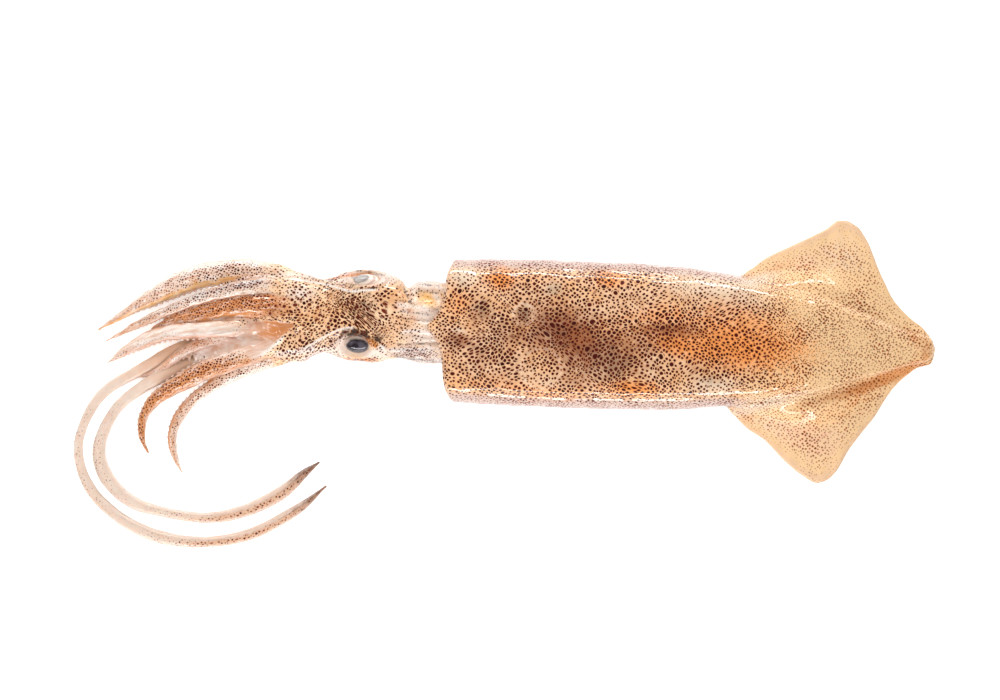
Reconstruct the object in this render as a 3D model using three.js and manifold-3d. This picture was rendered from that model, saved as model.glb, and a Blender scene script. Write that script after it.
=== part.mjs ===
// A whole raw squid lying belly down on a flat surface. Millimetres, +Z up.
// +X runs along the mantle from the head to the tail, +Y to the squid's own right side.
// The origin is on the flat patch of the belly, at the middle of the mantle's length.
//
// Four solids: the mantle sleeve with its two fins, the head with its funnel, eight arms and two
// tentacles, and the two eyeballs. The head isn't grown to the mantle's rim: its neck stands in the
// sleeve's mouth, and each eyeball stands in a socket of the head.
import * as THREE from "three";
import { LoftGeometry } from "three/addons/geometries/LoftGeometry.js";
import { mergeVertices } from "three/addons/utils/BufferGeometryUtils.js";
import Module from "manifold-3d";

// ---- driving dimensions -------------------------------------------------------------------------
const TAIL_X = 74.8; // tip of the tail
const RIM_X = -70.2; // the mantle's rim, between its rounded sides and its middle point
const RIM_SIDE_BACK = 2.2; // how far the rim rounds back at its two sides
const LOBE_LENGTH = 6.3; // how far the rim's middle point runs forward over the neck
const LOBE_Y = 0.5; // the point lies a little to the right of the mantle's axis
const LOBE_SPREAD = 4.5; // the point's length falls off by e over this distance to each side
const BELLY_NOTCH = 4; // how far the rim draws back over the funnel, under the belly
const BELLY_NOTCH_SPREAD = 8; // half the width over which it does
const WALL = 2.4; // thickness of the sleeve at its rim
const LIP = 0.8; // length over which the rim rounds over
const MOUTH_END_X = -55; // the mouth around the neck is open as far back as this
const MANTLE_POWER = 2.6; // above 2, the section is flatter on top and tighter at the shoulders
const MANTLE_WAIST = 0.42; // the widest level, as a share of the height
const BELLY_PRESS = 0.5; // depth by which the belly is pressed flat on the surface
const FIN_EDGE = 0.9; // thickness of a fin next to its edge
const FIN_ROOT = 2.8; // thickness of a fin where it leaves the mantle
const FIN_CLEAR = 0.2; // the fins' underside stays this far above the surface
const FIN_ZONE = 0.7; // share of the way round a fin's upper or lower face takes, in radians
const ROOT_ANGLE = 0.3; // height of the fin's root on the mantle's side, as a section angle
const HEAD_POWER = 2.3;
const HEAD_WAIST = 0.46;
const LIMB_FLATNESS = 0.92; // height of an arm for its width
const EYE_GAP = 0.35; // clearance between an eyeball and its socket

const MANTLE_AROUND = 44;
const MANTLE_ALONG = 36;
const TAIL_CROWDING = 1.3; // above 1, the mantle's sections stand closer towards the tail
const HEAD_AROUND = 24;
const HEAD_ALONG = 30;
const LIMB_AROUND = 8;
const LIMB_STEP = 3.6; // distance from one section of an arm to the next
const SKIN_ROUGHNESS = 0.4;
const EYE_ROUGHNESS = 0.15;
const COLOURS = { mantle: 0xd9a577, head: 0xe0b792, eye: 0x4c4a52 };

// Half-width of the mantle without its fins, by x.
const MANTLE_HALF_WIDTH = [
  [-76, 20.2], [-67.5, 20.9], [-46, 21.6], [-20, 21.5], [-3, 21.1], [8, 19.9], [18, 18.6],
  [32, 16.2], [45, 12.9], [55, 9.2], [66, 5.4], [71, 4.3], [73.6, 3.1], [TAIL_X, 1.3],
];
// How far the mantle's axis bends to the right, by x.
const MANTLE_BEND = [[-76, -0.5], [-45, -0.2], [0, 0.1], [TAIL_X, 0]];
// Height of the mantle's back, by x.
const MANTLE_TOP = [
  [-76, 18.2], [-68, 19.6], [-48, 21.4], [-20, 22], [0, 21.2], [15, 19.2], [36, 14.6],
  [54, 9.4], [66, 6.2], [72, 5.2], [TAIL_X, 3.6],
];
// Each fin, by x: how far its edge reaches from the mantle's axis, and the level of that edge above
// the surface, which ripples as the fin lies.
const FINS = {
  right: {
    reach: [
      [14, 19.1], [19, 21.4], [23, 24.6], [32, 29.3], [41, 34.2], [45.5, 37.3], [50.3, 35.2],
      [53, 31.6], [58, 20.8], [62, 13.8], [67, 8.9], [72.4, 5.1], [74, 2.9], [TAIL_X, 1.3],
    ],
    level: [[14, 8.4], [24, 4.6], [34, 2.4], [45, 1.5], [54, 2.1], [64, 2.6], [TAIL_X, 2]],
  },
  left: {
    reach: [
      [12, 19.2], [15.5, 21.8], [20, 25.8], [25, 28.7], [32, 35.2], [37, 38.9], [41.5, 41],
      [44.5, 39.9], [47, 37.1], [50.8, 30.1], [57.7, 20.5], [63, 11.7], [68.5, 6.7], [73.2, 5],
      [74.2, 4.2], [TAIL_X, 2],
    ],
    level: [[12, 8.2], [22, 3.6], [32, 1.4], [42, 1], [51, 2.2], [60, 1.5], [68, 2.4], [TAIL_X, 2]],
  },
};
// The head and neck, by x: their two sides, top and underside.
const HEAD = {
  right: [
    [-131, 3.6], [-124, 9.8], [-117, 13.8], [-112, 14.6], [-106, 13.3], [-99.5, 15.5], [-92, 16.2],
    [-87, 15.4], [-83.4, 13.6], [-81.6, 11.6], [-79.6, 13.2], [-76, 13.9], [-70, 13.6], [-58, 9.5],
  ],
  left: [
    [-131, -3], [-124, -8.4], [-117, -12], [-112, -11.7], [-105.4, -8.4], [-99, -10.2], [-92, -10.9],
    [-86, -9.7], [-80, -9], [-70, -8.8], [-58, -7],
  ],
  top: [
    [-131, 8], [-124, 12], [-117, 14.4], [-110, 15.6], [-102, 16.4], [-93, 17], [-84, 16.2],
    [-79, 15.6], [-68, 15.6], [-58, 13.6],
  ],
  under: [[-131, 5.5], [-124, 2], [-117, 0], [-84, 0], [-77, 1.6], [-71, 3.4], [-58, 4]],
};

// Each limb's route starts inside the head and ends at its tip. A point is the x, y and z of the
// limb's middle and half its width there. The arms count from the back, 1, to the belly, 4.
const LIMBS = {
  arm_right_1: [
    [-106, 4.6, 12.4, 3.2], [-113, 5, 12.2, 3.3], [-125, 4.8, 10.6, 3.5], [-134, 3.7, 8.6, 3.1],
    [-142.4, 1.3, 6.6, 2.8], [-149.6, -0.7, 4.8, 2.1], [-157.4, -3.6, 3, 0.3],
  ],
  arm_right_2: [
    [-106, 7.6, 12, 2.8], [-114, 9.6, 12.2, 2.8], [-122, 10.4, 11.6, 2.6], [-131, 9.2, 10.4, 2.4],
    [-140, 6.8, 8.6, 2], [-148.3, 3.6, 6.4, 1.7], [-160, -1.9, 3.2, 1.4], [-171, -7.9, 0.4, 0.2],
  ],
  arm_right_3: [
    [-106, 10.2, 7.6, 3], [-114, 12.2, 7.6, 3.1], [-122.3, 14.3, 7, 3.3], [-131, 14.6, 6.2, 3.8],
    [-140, 13.2, 5.2, 4], [-148.6, 10.2, 3.9, 3.9], [-155.8, 6.4, 2.7, 3.1],
    [-162.4, 2.6, 1.8, 1.9], [-168, -1.1, 1.1, 1.1], [-173.4, -4.7, 0.4, 0.2],
  ],
  arm_right_4: [
    [-113, -1, 7, 2.2], [-122, -2.2, 7.4, 2.2], [-133, -5, 7.2, 2], [-140.6, -7.2, 6.6, 1.9],
    [-146.3, -9.6, 5.4, 1.8], [-154.6, -15.8, 3, 1.3], [-161, -18.2, 1.8, 0.3],
  ],
  arm_left_1: [
    [-113, -0.8, 9, 2.6], [-122, -1.2, 9.4, 2.8], [-131, -2, 8.8, 2.8], [-140, -3.2, 7.6, 2.8],
    [-148, -3.9, 5.8, 2.8], [-154, -5.1, 4.4, 2.6], [-159.6, -7.5, 2.9, 2.3],
    [-165.4, -10.9, 1.5, 1.4], [-170.4, -14.5, 0.4, 0.2],
  ],
  arm_left_2: [
    [-112.6, -5, 10.4, 2.6], [-123, -8.2, 9.8, 2.8], [-131, -11.4, 8.6, 3], [-140, -14.9, 7, 3.3],
    [-147.4, -18.9, 5, 3], [-152.5, -22.2, 3.6, 2.5], [-155.9, -25.4, 2.6, 2.1],
    [-158.4, -29.3, 1.9, 1.7], [-159, -33.4, 1.4, 1.3], [-158.4, -37.2, 0.9, 0.9],
    [-156.4, -40.9, 0.4, 0.2],
  ],
  arm_left_3: [
    [-106, -6, 7, 2.7], [-114.4, -9.2, 7, 2.7], [-124, -12.2, 6.2, 2.6], [-133, -16.4, 5, 2.3],
    [-139.4, -20.2, 3.8, 2], [-143.6, -23.5, 3, 1.9], [-146.8, -27.3, 2.2, 1.9],
    [-149.3, -32.1, 1.6, 1.7], [-149.8, -36.9, 1.2, 1.4], [-148.6, -41.4, 0.9, 1],
    [-146.4, -46.2, 0.4, 0.2],
  ],
  arm_left_4: [
    [-113, -3.5, 4, 2.6], [-121.5, -5, 3.2, 2.5], [-130, -8.4, 2.5, 2.3], [-139, -12.8, 1.9, 2],
    [-146, -17, 1.5, 1.5], [-151.9, -20.6, 0.5, 0.3],
  ],
  tentacle_right: [
    [-113, -0.5, 6, 2], [-130.5, -4.4, 6, 2], [-146.5, -8.2, 4, 2.1], [-161, -16.5, 1.9, 1.8],
    [-171, -23.4, 1.5, 1.6], [-176.7, -34.4, 1.4, 1.4], [-176.9, -43.9, 1.4, 1.5],
    [-172.2, -53.1, 1.5, 1.7], [-163, -60.7, 1.5, 1.8], [-151.5, -65.2, 1.5, 2],
    [-138.3, -65.9, 1.4, 1.6], [-124.9, -62.8, 1.4, 1.7], [-112, -55.2, 1.1, 1.5],
    [-103.5, -47.8, 0.25, 0.2],
  ],
  tentacle_left: [
    [-113, -2.6, 8, 2.3], [-131, -7.3, 7.6, 2.4], [-148, -14.6, 4.4, 2.2], [-161.3, -22.5, 1.8, 1.8],
    [-168.1, -30, 1.6, 1.7], [-171.2, -40.1, 1.6, 2], [-168.2, -48.6, 1.7, 2.2],
    [-160.3, -55.2, 1.6, 1.9], [-149.3, -57.9, 1.3, 1.5], [-138.6, -58.7, 1.3, 1.6],
    [-128, -56.4, 1.4, 1.8], [-117.5, -50.9, 1.4, 2], [-110.5, -44.6, 1, 1.3],
    [-105.9, -40.9, 0.25, 0.2],
  ],
  // The funnel leaves the mouth under the neck, a little to the left.
  funnel: [
    [-60, -5, 7.2, 3], [-66, -5.6, 7, 3.7], [-72, -6.2, 6, 4.4], [-79, -5.8, 4.8, 4.7],
    [-86, -4.4, 4.2, 3.6],
  ],
};
// Each eyeball: its centre, its half-lengths along the head, across it and through it, and the
// angle in degrees by which it leans out to its side.
const EYES = {
  eye_left: { centre: [-95.4, -5.2, 13.2], radii: [4.6, 3.2, 2.7], lean: 28 },
  eye_right: { centre: [-93.6, 12.3, 11.7], radii: [4.9, 3, 2.7], lean: -44 },
};

// ---- helpers ------------------------------------------------------------------------------------
const wasm = await Module();
wasm.setup();
const mix = THREE.MathUtils.lerp;

// Value at x of a smooth curve through [x, value] knots: cubic pieces whose slope at each knot is
// the harmonic mean of the slopes beside it, and 0 at a peak, so it never overshoots its knots.
function profile(knots, x) {
  const last = knots.length - 1;
  if (x <= knots[0][0]) return knots[0][1];
  if (x >= knots[last][0]) return knots[last][1];
  const rise = (k) => (knots[k + 1][1] - knots[k][1]) / (knots[k + 1][0] - knots[k][0]);
  const slope = (k) => {
    if (k === 0) return rise(0);
    if (k === last) return rise(last - 1);
    const [before, after] = [rise(k - 1), rise(k)];
    return before * after <= 0 ? 0 : (2 * before * after) / (before + after);
  };
  const i = knots.findIndex((knot) => knot[0] > x) - 1;
  const span = knots[i + 1][0] - knots[i][0];
  const t = (x - knots[i][0]) / span;
  const ease = t * t * (3 - 2 * t);
  const bulge = slope(i) * t * (1 - t) ** 2 - slope(i + 1) * t * t * (1 - t);
  return mix(knots[i][1], knots[i + 1][1], ease) + span * bulge;
}

// A point of a superellipse with half-axes of 1: an ellipse at power 2, squarer above it.
function superellipse(angle, power) {
  return [Math.cos(angle), Math.sin(angle)].map((v) => Math.sign(v) * Math.abs(v) ** (2 / power));
}

// A closed surface as a solid: its vertices are joined by position alone, and the triangles that
// this leaves without an area, as at a pole, are dropped.
function solid(geometry) {
  const bare = new THREE.BufferGeometry()
    .setAttribute("position", geometry.attributes.position)
    .setIndex(geometry.index);
  const merged = mergeVertices(bare, 1e-3);
  const corners = [];
  for (let i = 0; i < merged.index.count; i += 3) {
    const [a, b, c] = [0, 1, 2].map((k) => merged.index.getX(i + k));
    if (a !== b && b !== c && c !== a) corners.push(a, b, c);
  }
  return new wasm.Manifold(
    new wasm.Mesh({
      numProp: 3,
      vertProperties: merged.attributes.position.array,
      triVerts: new Uint32Array(corners),
    }),
  );
}

// A skin over a row of rings, drawn together to a point at both ends. Seen from the last ring back
// to the first, each ring runs counterclockwise.
function loft(rings) {
  const pole = (ring) => {
    const middle = ring.reduce((sum, point) => sum.add(point), new THREE.Vector3());
    middle.divideScalar(ring.length);
    return ring.map(() => middle);
  };
  return solid(new LoftGeometry([pole(rings[0]), ...rings, pole(rings.at(-1))]));
}

// count points or rings, made from their shares of the way, which is open or closes on itself.
const along = (count, make) => Array.from({ length: count + 1 }, (_, i) => make(i / count));
const around = (count, make) =>
  Array.from({ length: count }, (_, i) => make((2 * Math.PI * i) / count));

function mesh(name, { vertProperties, triVerts }, colour, roughness) {
  const geometry = new THREE.BufferGeometry()
    .setAttribute("position", new THREE.BufferAttribute(vertProperties, 3))
    .setIndex(new THREE.BufferAttribute(triVerts, 1));
  geometry.computeVertexNormals();
  const material = new THREE.MeshStandardMaterial({ color: colour, roughness, metalness: 0 });
  const made = new THREE.Mesh(geometry, material);
  made.name = name;
  return made;
}

// ---- mantle and fins ----------------------------------------------------------------------------
// x of the mantle's rim at a place y across it, over the back or under the belly.
function rimX(y, onBack) {
  const halfWidth = profile(MANTLE_HALF_WIDTH, RIM_X);
  const sides = RIM_X + RIM_SIDE_BACK * (y / halfWidth) ** 8;
  if (!onBack) return sides + BELLY_NOTCH * Math.exp(-((y / BELLY_NOTCH_SPREAD) ** 2));
  return sides - LOBE_LENGTH * Math.exp(-Math.abs(y - LOBE_Y) / LOBE_SPREAD);
}

// A point of the section at x. The angle runs once around, from the right fin's edge over the back
// to the left fin's edge and on under the belly. Next to a fin's edge the points slide out from the
// mantle's side on to the fin, whose faces meet the mantle in a fillet. inset draws the section in.
function mantlePoint(x, angle, inset = 0) {
  const onBack = angle <= Math.PI;
  const [side, sign] = Math.cos(angle) >= 0 ? ["right", 1] : ["left", -1];
  const fromFin = Math.min(angle % Math.PI, Math.PI - (angle % Math.PI));
  const share = Math.min(fromFin / FIN_ZONE, 1); // 0 at the fin's edge, 1 at its root
  const pastFin = Math.max(fromFin - FIN_ZONE, 0) / (Math.PI / 2 - FIN_ZONE);
  const bodyAngle = share * ROOT_ANGLE + pastFin * (Math.PI / 2 - ROOT_ANGLE);

  const halfWidth = profile(MANTLE_HALF_WIDTH, x) - inset;
  const top = profile(MANTLE_TOP, x);
  const waist = MANTLE_WAIST * top;
  const rise = (onBack ? top - waist : -waist - BELLY_PRESS) * (1 - (2 * inset) / top);
  const bodyAt = (sectionAngle) => {
    const [across, up] = superellipse(sectionAngle, MANTLE_POWER);
    return [halfWidth * across, Math.max(waist + rise * up, inset)];
  };
  const [bodyY, bodyZ] = bodyAt(bodyAngle);

  const reach = profile(FINS[side].reach, x);
  const finned = inset > 0 ? 0 : THREE.MathUtils.smoothstep(reach - halfWidth, 0, 2.5);
  const [rootY, rootZ] = bodyAt(ROOT_ANGLE);
  const half = mix(FIN_EDGE, FIN_ROOT, share) * 0.5 * Math.min(1, share * 4);
  const middle = mix(profile(FINS[side].level, x), waist, share ** 1.4);
  const plateZ = Math.max(middle + (onBack ? half : -half), FIN_CLEAR);
  const finZ = mix(plateZ, rootZ, THREE.MathUtils.smoothstep(share, 0.55, 1));
  const onFin = share < 1 ? finned : 0;
  return new THREE.Vector3(
    x,
    profile(MANTLE_BEND, x) + sign * mix(bodyY, mix(reach, rootY, share), onFin),
    mix(bodyZ, finZ, onFin),
  );
}

// A ring whose x is a share of the way from the rim to endX, starting setBack behind the rim.
function mantleRing(share, endX, setBack, inset) {
  return around(MANTLE_AROUND, (angle) => {
    const rim = rimX(mantlePoint(RIM_X, angle).y, angle <= Math.PI);
    return mantlePoint(mix(rim + setBack, endX, share), angle, inset);
  });
}

function makeMantle() {
  const mouth = [1, 0.5, 0].map((share) => mantleRing(share, MOUTH_END_X, LIP, WALL));
  const lip = mantleRing(0, MOUTH_END_X, 0, WALL / 2);
  const skin = along(MANTLE_ALONG, (share) =>
    mantleRing(1 - (1 - share) ** TAIL_CROWDING, TAIL_X, LIP, 0),
  );
  return loft([...mouth, lip, ...skin]);
}

// ---- head and limbs -----------------------------------------------------------------------------
function makeHead() {
  const [frontX, backX] = [HEAD.top[0][0], HEAD.top.at(-1)[0]];
  return loft(
    along(HEAD_ALONG, (share) => {
      const x = mix(frontX, backX, share);
      const [right, left, top, under] = ["right", "left", "top", "under"].map((side) =>
        profile(HEAD[side], x),
      );
      const waist = mix(under, top, HEAD_WAIST);
      return around(HEAD_AROUND, (angle) => {
        const [across, up] = superellipse(angle, HEAD_POWER);
        const rise = up >= 0 ? top - waist : waist - under;
        return new THREE.Vector3(x, mix(left, right, (1 + across) / 2), waist + rise * up);
      });
    }),
  );
}

// A tapering tube along a route. Its section is an upright ellipse, flattened where it rests.
function makeLimb(route) {
  const smooth = (points) => new THREE.CatmullRomCurve3(points, false, "catmullrom");
  const middle = smooth(route.map(([x, y, z]) => new THREE.Vector3(x, y, z)));
  const size = smooth(route.map(([, , , width]) => new THREE.Vector3(width, 0, 0)));
  return loft(
    along(Math.round(middle.getLength() / LIMB_STEP), (share) => {
      const t = middle.getUtoTmapping(share);
      const width = size.getPoint(t).x;
      const ahead = middle.getTangent(t);
      const sideways = new THREE.Vector3(0, 0, 1).cross(ahead).normalize();
      const upwards = ahead.clone().cross(sideways);
      return around(LIMB_AROUND, (angle) => {
        const point = middle
          .getPoint(t)
          .addScaledVector(sideways, width * Math.cos(angle))
          .addScaledVector(upwards, width * LIMB_FLATNESS * Math.sin(angle));
        return point.setZ(Math.max(point.z, 0));
      });
    }),
  );
}

// An eyeball, or its socket when gap is above 0.
function makeEyeball({ centre, radii, lean }, gap) {
  const ball = new THREE.SphereGeometry(1, 18, 12)
    .scale(...radii.map((radius) => radius + gap))
    .rotateX(THREE.MathUtils.degToRad(lean))
    .translate(...centre);
  return solid(ball);
}

// ---- the squid ----------------------------------------------------------------------------------
const eyes = Object.entries(EYES);
const whole = Object.values(LIMBS).reduce((flesh, route) => flesh.add(makeLimb(route)), makeHead());
const head = eyes.reduce((flesh, [, eye]) => flesh.subtract(makeEyeball(eye, EYE_GAP)), whole);

const squid = new THREE.Group();
squid.add(mesh("mantle", makeMantle().getMesh(), COLOURS.mantle, SKIN_ROUGHNESS));
squid.add(mesh("head_and_arms", head.getMesh(), COLOURS.head, SKIN_ROUGHNESS));
for (const [name, eye] of eyes) {
  squid.add(mesh(name, makeEyeball(eye, 0).getMesh(), COLOURS.eye, EYE_ROUGHNESS));
}

export default squid;
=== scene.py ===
import math

import bpy
import numpy as np
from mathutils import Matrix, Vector


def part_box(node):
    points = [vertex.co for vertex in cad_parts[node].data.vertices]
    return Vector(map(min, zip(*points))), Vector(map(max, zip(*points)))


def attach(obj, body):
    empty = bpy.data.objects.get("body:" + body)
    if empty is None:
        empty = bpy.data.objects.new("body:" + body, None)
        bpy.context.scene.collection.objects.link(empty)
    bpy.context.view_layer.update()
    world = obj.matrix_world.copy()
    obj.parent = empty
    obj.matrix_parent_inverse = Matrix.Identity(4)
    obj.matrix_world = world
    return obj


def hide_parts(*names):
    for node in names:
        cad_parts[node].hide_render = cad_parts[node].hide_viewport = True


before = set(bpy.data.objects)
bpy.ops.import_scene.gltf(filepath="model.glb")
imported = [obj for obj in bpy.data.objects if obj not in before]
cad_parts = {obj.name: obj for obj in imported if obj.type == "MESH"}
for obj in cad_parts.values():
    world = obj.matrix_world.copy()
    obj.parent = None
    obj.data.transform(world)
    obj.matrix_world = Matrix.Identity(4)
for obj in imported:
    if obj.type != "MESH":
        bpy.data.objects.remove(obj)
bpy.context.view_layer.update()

MM = 0.001
TAU = 2 * math.pi

# ---- driving dimensions ----
TAIL_X = 74.8
RIM_X = -70.2
RIM_SIDE_BACK = 2.2
LOBE_LENGTH = 6.3
LOBE_Y = 0.5
LOBE_SPREAD = 4.5
BELLY_NOTCH = 4
BELLY_NOTCH_SPREAD = 8
WALL = 2.4
LIP = 0.8
MANTLE_POWER = 2.6
MANTLE_WAIST = 0.42
BELLY_PRESS = 0.5
FIN_ROOT = 2.8
FIN_CLEAR = 0.2
FIN_ZONE = 0.7
ROOT_ANGLE = 0.3
HEAD_POWER = 2.3
HEAD_WAIST = 0.46
LIMB_FLATNESS = 0.92

MANTLE_HALF_WIDTH = [
    (-76, 20.2), (-67.5, 20.9), (-46, 21.6), (-20, 21.5), (-3, 21.1), (8, 19.9), (18, 18.6), (32, 16.2),
    (45, 12.9), (55, 9.2), (66, 5.4), (71, 4.3), (73.6, 3.1), (TAIL_X, 1.3),
]
MANTLE_BEND = [(-76, -0.5), (-45, -0.2), (0, 0.1), (TAIL_X, 0)]
MANTLE_TOP = [
    (-76, 18.2), (-68, 19.6), (-48, 21.4), (-20, 22), (0, 21.2), (15, 19.2), (36, 14.6), (54, 9.4),
    (66, 6.2), (72, 5.2), (TAIL_X, 3.6),
]
FIN_REACH = {
    "right": [
        (14, 19.1), (19, 21.4), (23, 24.6), (32, 29.3), (41, 34.2), (45.5, 37.3), (50.3, 35.2),
        (53, 31.6), (58, 20.8), (62, 13.8), (67, 8.9), (72.4, 5.1), (74, 2.9), (TAIL_X, 1.3),
    ],
    "left": [
        (12, 19.2), (15.5, 21.8), (20, 25.8), (25, 28.7), (32, 35.2), (37, 38.9), (41.5, 41),
        (44.5, 39.9), (47, 37.1), (50.8, 30.1), (57.7, 20.5), (63, 11.7), (68.5, 6.7), (73.2, 5),
        (74.2, 4.2), (TAIL_X, 2),
    ],
}
FIN_LEVEL = {
    "right": [(14, 8.4), (24, 4.6), (34, 2.4), (45, 1.5), (54, 2.1), (64, 2.6), (TAIL_X, 2)],
    "left": [(12, 8.2), (22, 3.6), (32, 1.4), (42, 1), (51, 2.2), (60, 1.5), (68, 2.4), (TAIL_X, 2)],
}
HEAD = {
    "right": [
        (-131, 3.6), (-124, 9.8), (-117, 13.8), (-112, 14.6), (-106, 13.3), (-99.5, 15.5), (-92, 16.2),
        (-87, 15.4), (-83.4, 13.6), (-81.6, 11.6), (-79.6, 13.2), (-76, 13.9), (-70, 13.6), (-58, 9.5),
    ],
    "left": [
        (-131, -3), (-124, -8.4), (-117, -12), (-112, -11.7), (-105.4, -8.4), (-99, -10.2),
        (-92, -10.9), (-86, -9.7), (-80, -9), (-70, -8.8), (-58, -7),
    ],
    "top": [
        (-131, 8), (-124, 12), (-117, 14.4), (-110, 15.6), (-102, 16.4), (-93, 17), (-84, 16.2),
        (-79, 15.6), (-68, 15.6), (-58, 13.6),
    ],
    "under": [(-131, 5.5), (-124, 2), (-117, 0), (-84, 0), (-77, 1.6), (-71, 3.4), (-58, 4)],
}
# Routes from inside the head to the tip: x, y and z of the limb's middle, and half its width.
LIMBS = {
    "arm_right_1": [
        (-106, 4.6, 12.4, 3.2), (-113, 5, 12.2, 3.3), (-125, 4.8, 10.6, 3.5), (-134, 3.7, 8.6, 3.1),
        (-142.4, 1.3, 6.6, 2.8), (-149.6, -0.7, 4.8, 2.1), (-157.4, -3.6, 3, 0.3),
    ],
    "arm_right_2": [
        (-106, 7.6, 12, 2.8), (-114, 9.6, 12.2, 2.8), (-122, 10.4, 11.6, 2.6), (-131, 9.2, 10.4, 2.4),
        (-140, 6.8, 8.6, 2), (-148.3, 3.6, 6.4, 1.7), (-160, -1.9, 3.2, 1.4), (-171, -7.9, 0.4, 0.2),
    ],
    "arm_right_3": [
        (-106, 10.2, 7.6, 3), (-114, 12.2, 7.6, 3.1), (-122.3, 14.3, 7, 3.3), (-131, 14.6, 6.2, 3.8),
        (-140, 13.2, 5.2, 4), (-148.6, 10.2, 3.9, 3.9), (-155.8, 6.4, 2.7, 3.1),
        (-162.4, 2.6, 1.8, 1.9), (-168, -1.1, 1.1, 1.1), (-173.4, -4.7, 0.4, 0.2),
    ],
    "arm_right_4": [
        (-113, -1, 7, 2.2), (-122, -2.2, 7.4, 2.2), (-133, -5, 7.2, 2), (-140.6, -7.2, 6.6, 1.9),
        (-146.3, -9.6, 5.4, 1.8), (-154.6, -15.8, 3, 1.3), (-161, -18.2, 1.8, 0.3),
    ],
    "arm_left_1": [
        (-113, -0.8, 9, 2.6), (-122, -1.2, 9.4, 2.8), (-131, -2, 8.8, 2.8), (-140, -3.2, 7.6, 2.8),
        (-148, -3.9, 5.8, 2.8), (-154, -5.1, 4.4, 2.6), (-159.6, -7.5, 2.9, 2.3),
        (-165.4, -10.9, 1.5, 1.4), (-170.4, -14.5, 0.4, 0.2),
    ],
    "arm_left_2": [
        (-112.6, -5, 10.4, 2.6), (-123, -8.2, 9.8, 2.8), (-131, -11.4, 8.6, 3), (-140, -14.9, 7, 3.3),
        (-147.4, -18.9, 5, 3), (-152.5, -22.2, 3.6, 2.5), (-155.9, -25.4, 2.6, 2.1),
        (-158.4, -29.3, 1.9, 1.7), (-159, -33.4, 1.4, 1.3), (-158.4, -37.2, 0.9, 0.9),
        (-156.4, -40.9, 0.4, 0.2),
    ],
    "arm_left_3": [
        (-106, -6, 7, 2.7), (-114.4, -9.2, 7, 2.7), (-124, -12.2, 6.2, 2.6), (-133, -16.4, 5, 2.3),
        (-139.4, -20.2, 3.8, 2), (-143.6, -23.5, 3, 1.9), (-146.8, -27.3, 2.2, 1.9),
        (-149.3, -32.1, 1.6, 1.7), (-149.8, -36.9, 1.2, 1.4), (-148.6, -41.4, 0.9, 1),
        (-146.4, -46.2, 0.4, 0.2),
    ],
    "arm_left_4": [
        (-113, -3.5, 4, 2.6), (-121.5, -5, 3.2, 2.5), (-130, -8.4, 2.5, 2.3), (-139, -12.8, 1.9, 2),
        (-146, -17, 1.5, 1.5), (-151.9, -20.6, 0.5, 0.3),
    ],
    "tentacle_right": [
        (-113, -0.5, 6, 2), (-130.5, -4.4, 6, 2), (-146.5, -8.2, 4, 2.1), (-161, -16.5, 1.9, 1.8),
        (-171, -23.4, 1.5, 1.6), (-176.7, -34.4, 1.4, 1.4), (-176.9, -43.9, 1.4, 1.5),
        (-172.2, -53.1, 1.5, 1.7), (-163, -60.7, 1.5, 1.8), (-151.5, -65.2, 1.5, 2),
        (-138.3, -65.9, 1.4, 1.6), (-124.9, -62.8, 1.4, 1.7), (-112, -55.2, 1.1, 1.5),
        (-103.5, -47.8, 0.25, 0.2),
    ],
    "tentacle_left": [
        (-113, -2.6, 8, 2.3), (-131, -7.3, 7.6, 2.4), (-148, -14.6, 4.4, 2.2),
        (-161.3, -22.5, 1.8, 1.8), (-168.1, -30, 1.6, 1.7), (-171.2, -40.1, 1.6, 2),
        (-168.2, -48.6, 1.7, 2.2), (-160.3, -55.2, 1.6, 1.9), (-149.3, -57.9, 1.3, 1.5),
        (-138.6, -58.7, 1.3, 1.6), (-128, -56.4, 1.4, 1.8), (-117.5, -50.9, 1.4, 2),
        (-110.5, -44.6, 1, 1.3), (-105.9, -40.9, 0.25, 0.2),
    ],
    "funnel": [
        (-60, -5, 7.2, 3), (-66, -5.6, 7, 3.7), (-72, -6.2, 6, 4.4), (-79, -5.8, 4.8, 4.7),
        (-86, -4.4, 4.2, 3.6),
    ],
}
EYES = {
    "eye_left": {"centre": (-95.4, -5.2, 13.2), "radii": (4.6, 3.2, 2.7), "lean": 28},
    "eye_right": {"centre": (-93.6, 12.3, 11.7), "radii": (4.9, 3, 2.7), "lean": -44},
}

# ---- finer shapes, which only the skin has ----
FIN_EDGE = 0.6  # thinner than the frame's fins, whose edges are left thick enough to hold together
TAIL_ROUNDING = 1.6
TAIL_LEVEL = 1.9  # height at which the tail's section closes
CAVITY_END_X = -46  # how deep the mantle's mouth goes round the neck
LIMB_TIP = 0.4  # half-width at which a limb's tip ends
TIP_ROUNDING = 0.8
HEAD_ROUND = 11  # radius that turns an angle round the head into millimetres of pattern
WEB_THICKNESS = (0.6, 0.95)  # half of it, at the arms' roots and at the web's free edge
WEB_ARCH = (0.6, -0.5)  # how far a web's middle lies over the straight line, at its root and its end
WEB_DRAWN_IN = 0.9
TENTACLE_SINK = 2.7  # how far the tentacles' roots are lowered, so that they come out from under the arms
SOCKET_DEPTH = 1.25
LID_HEIGHT = 0.5
CORNEA_BULGE = 0.07  # share of the eyeball's half-size
CREASE_DEPTH = 0.22
WEB_SUNK = 0.5
NECK_MIDDLE = (2.4, 8)  # y and z of the line that the neck's ribs lie round
NECK_RIBS = 9
RIB_HEIGHT = 0.2
SUCKER_MARK_HEIGHT = 0.07
PEN_Y = 1.2  # the stiff pen under the back shows as two ridges, one on each side of this line
PEN_HALF_WIDTH = 1.1
PEN_HEIGHT = 0.12
RUFFLE_HEIGHT = 0.35
RUFFLE_WAVES = (12.5, 7.7)  # lengths of the two waves along a fin's edge
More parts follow.
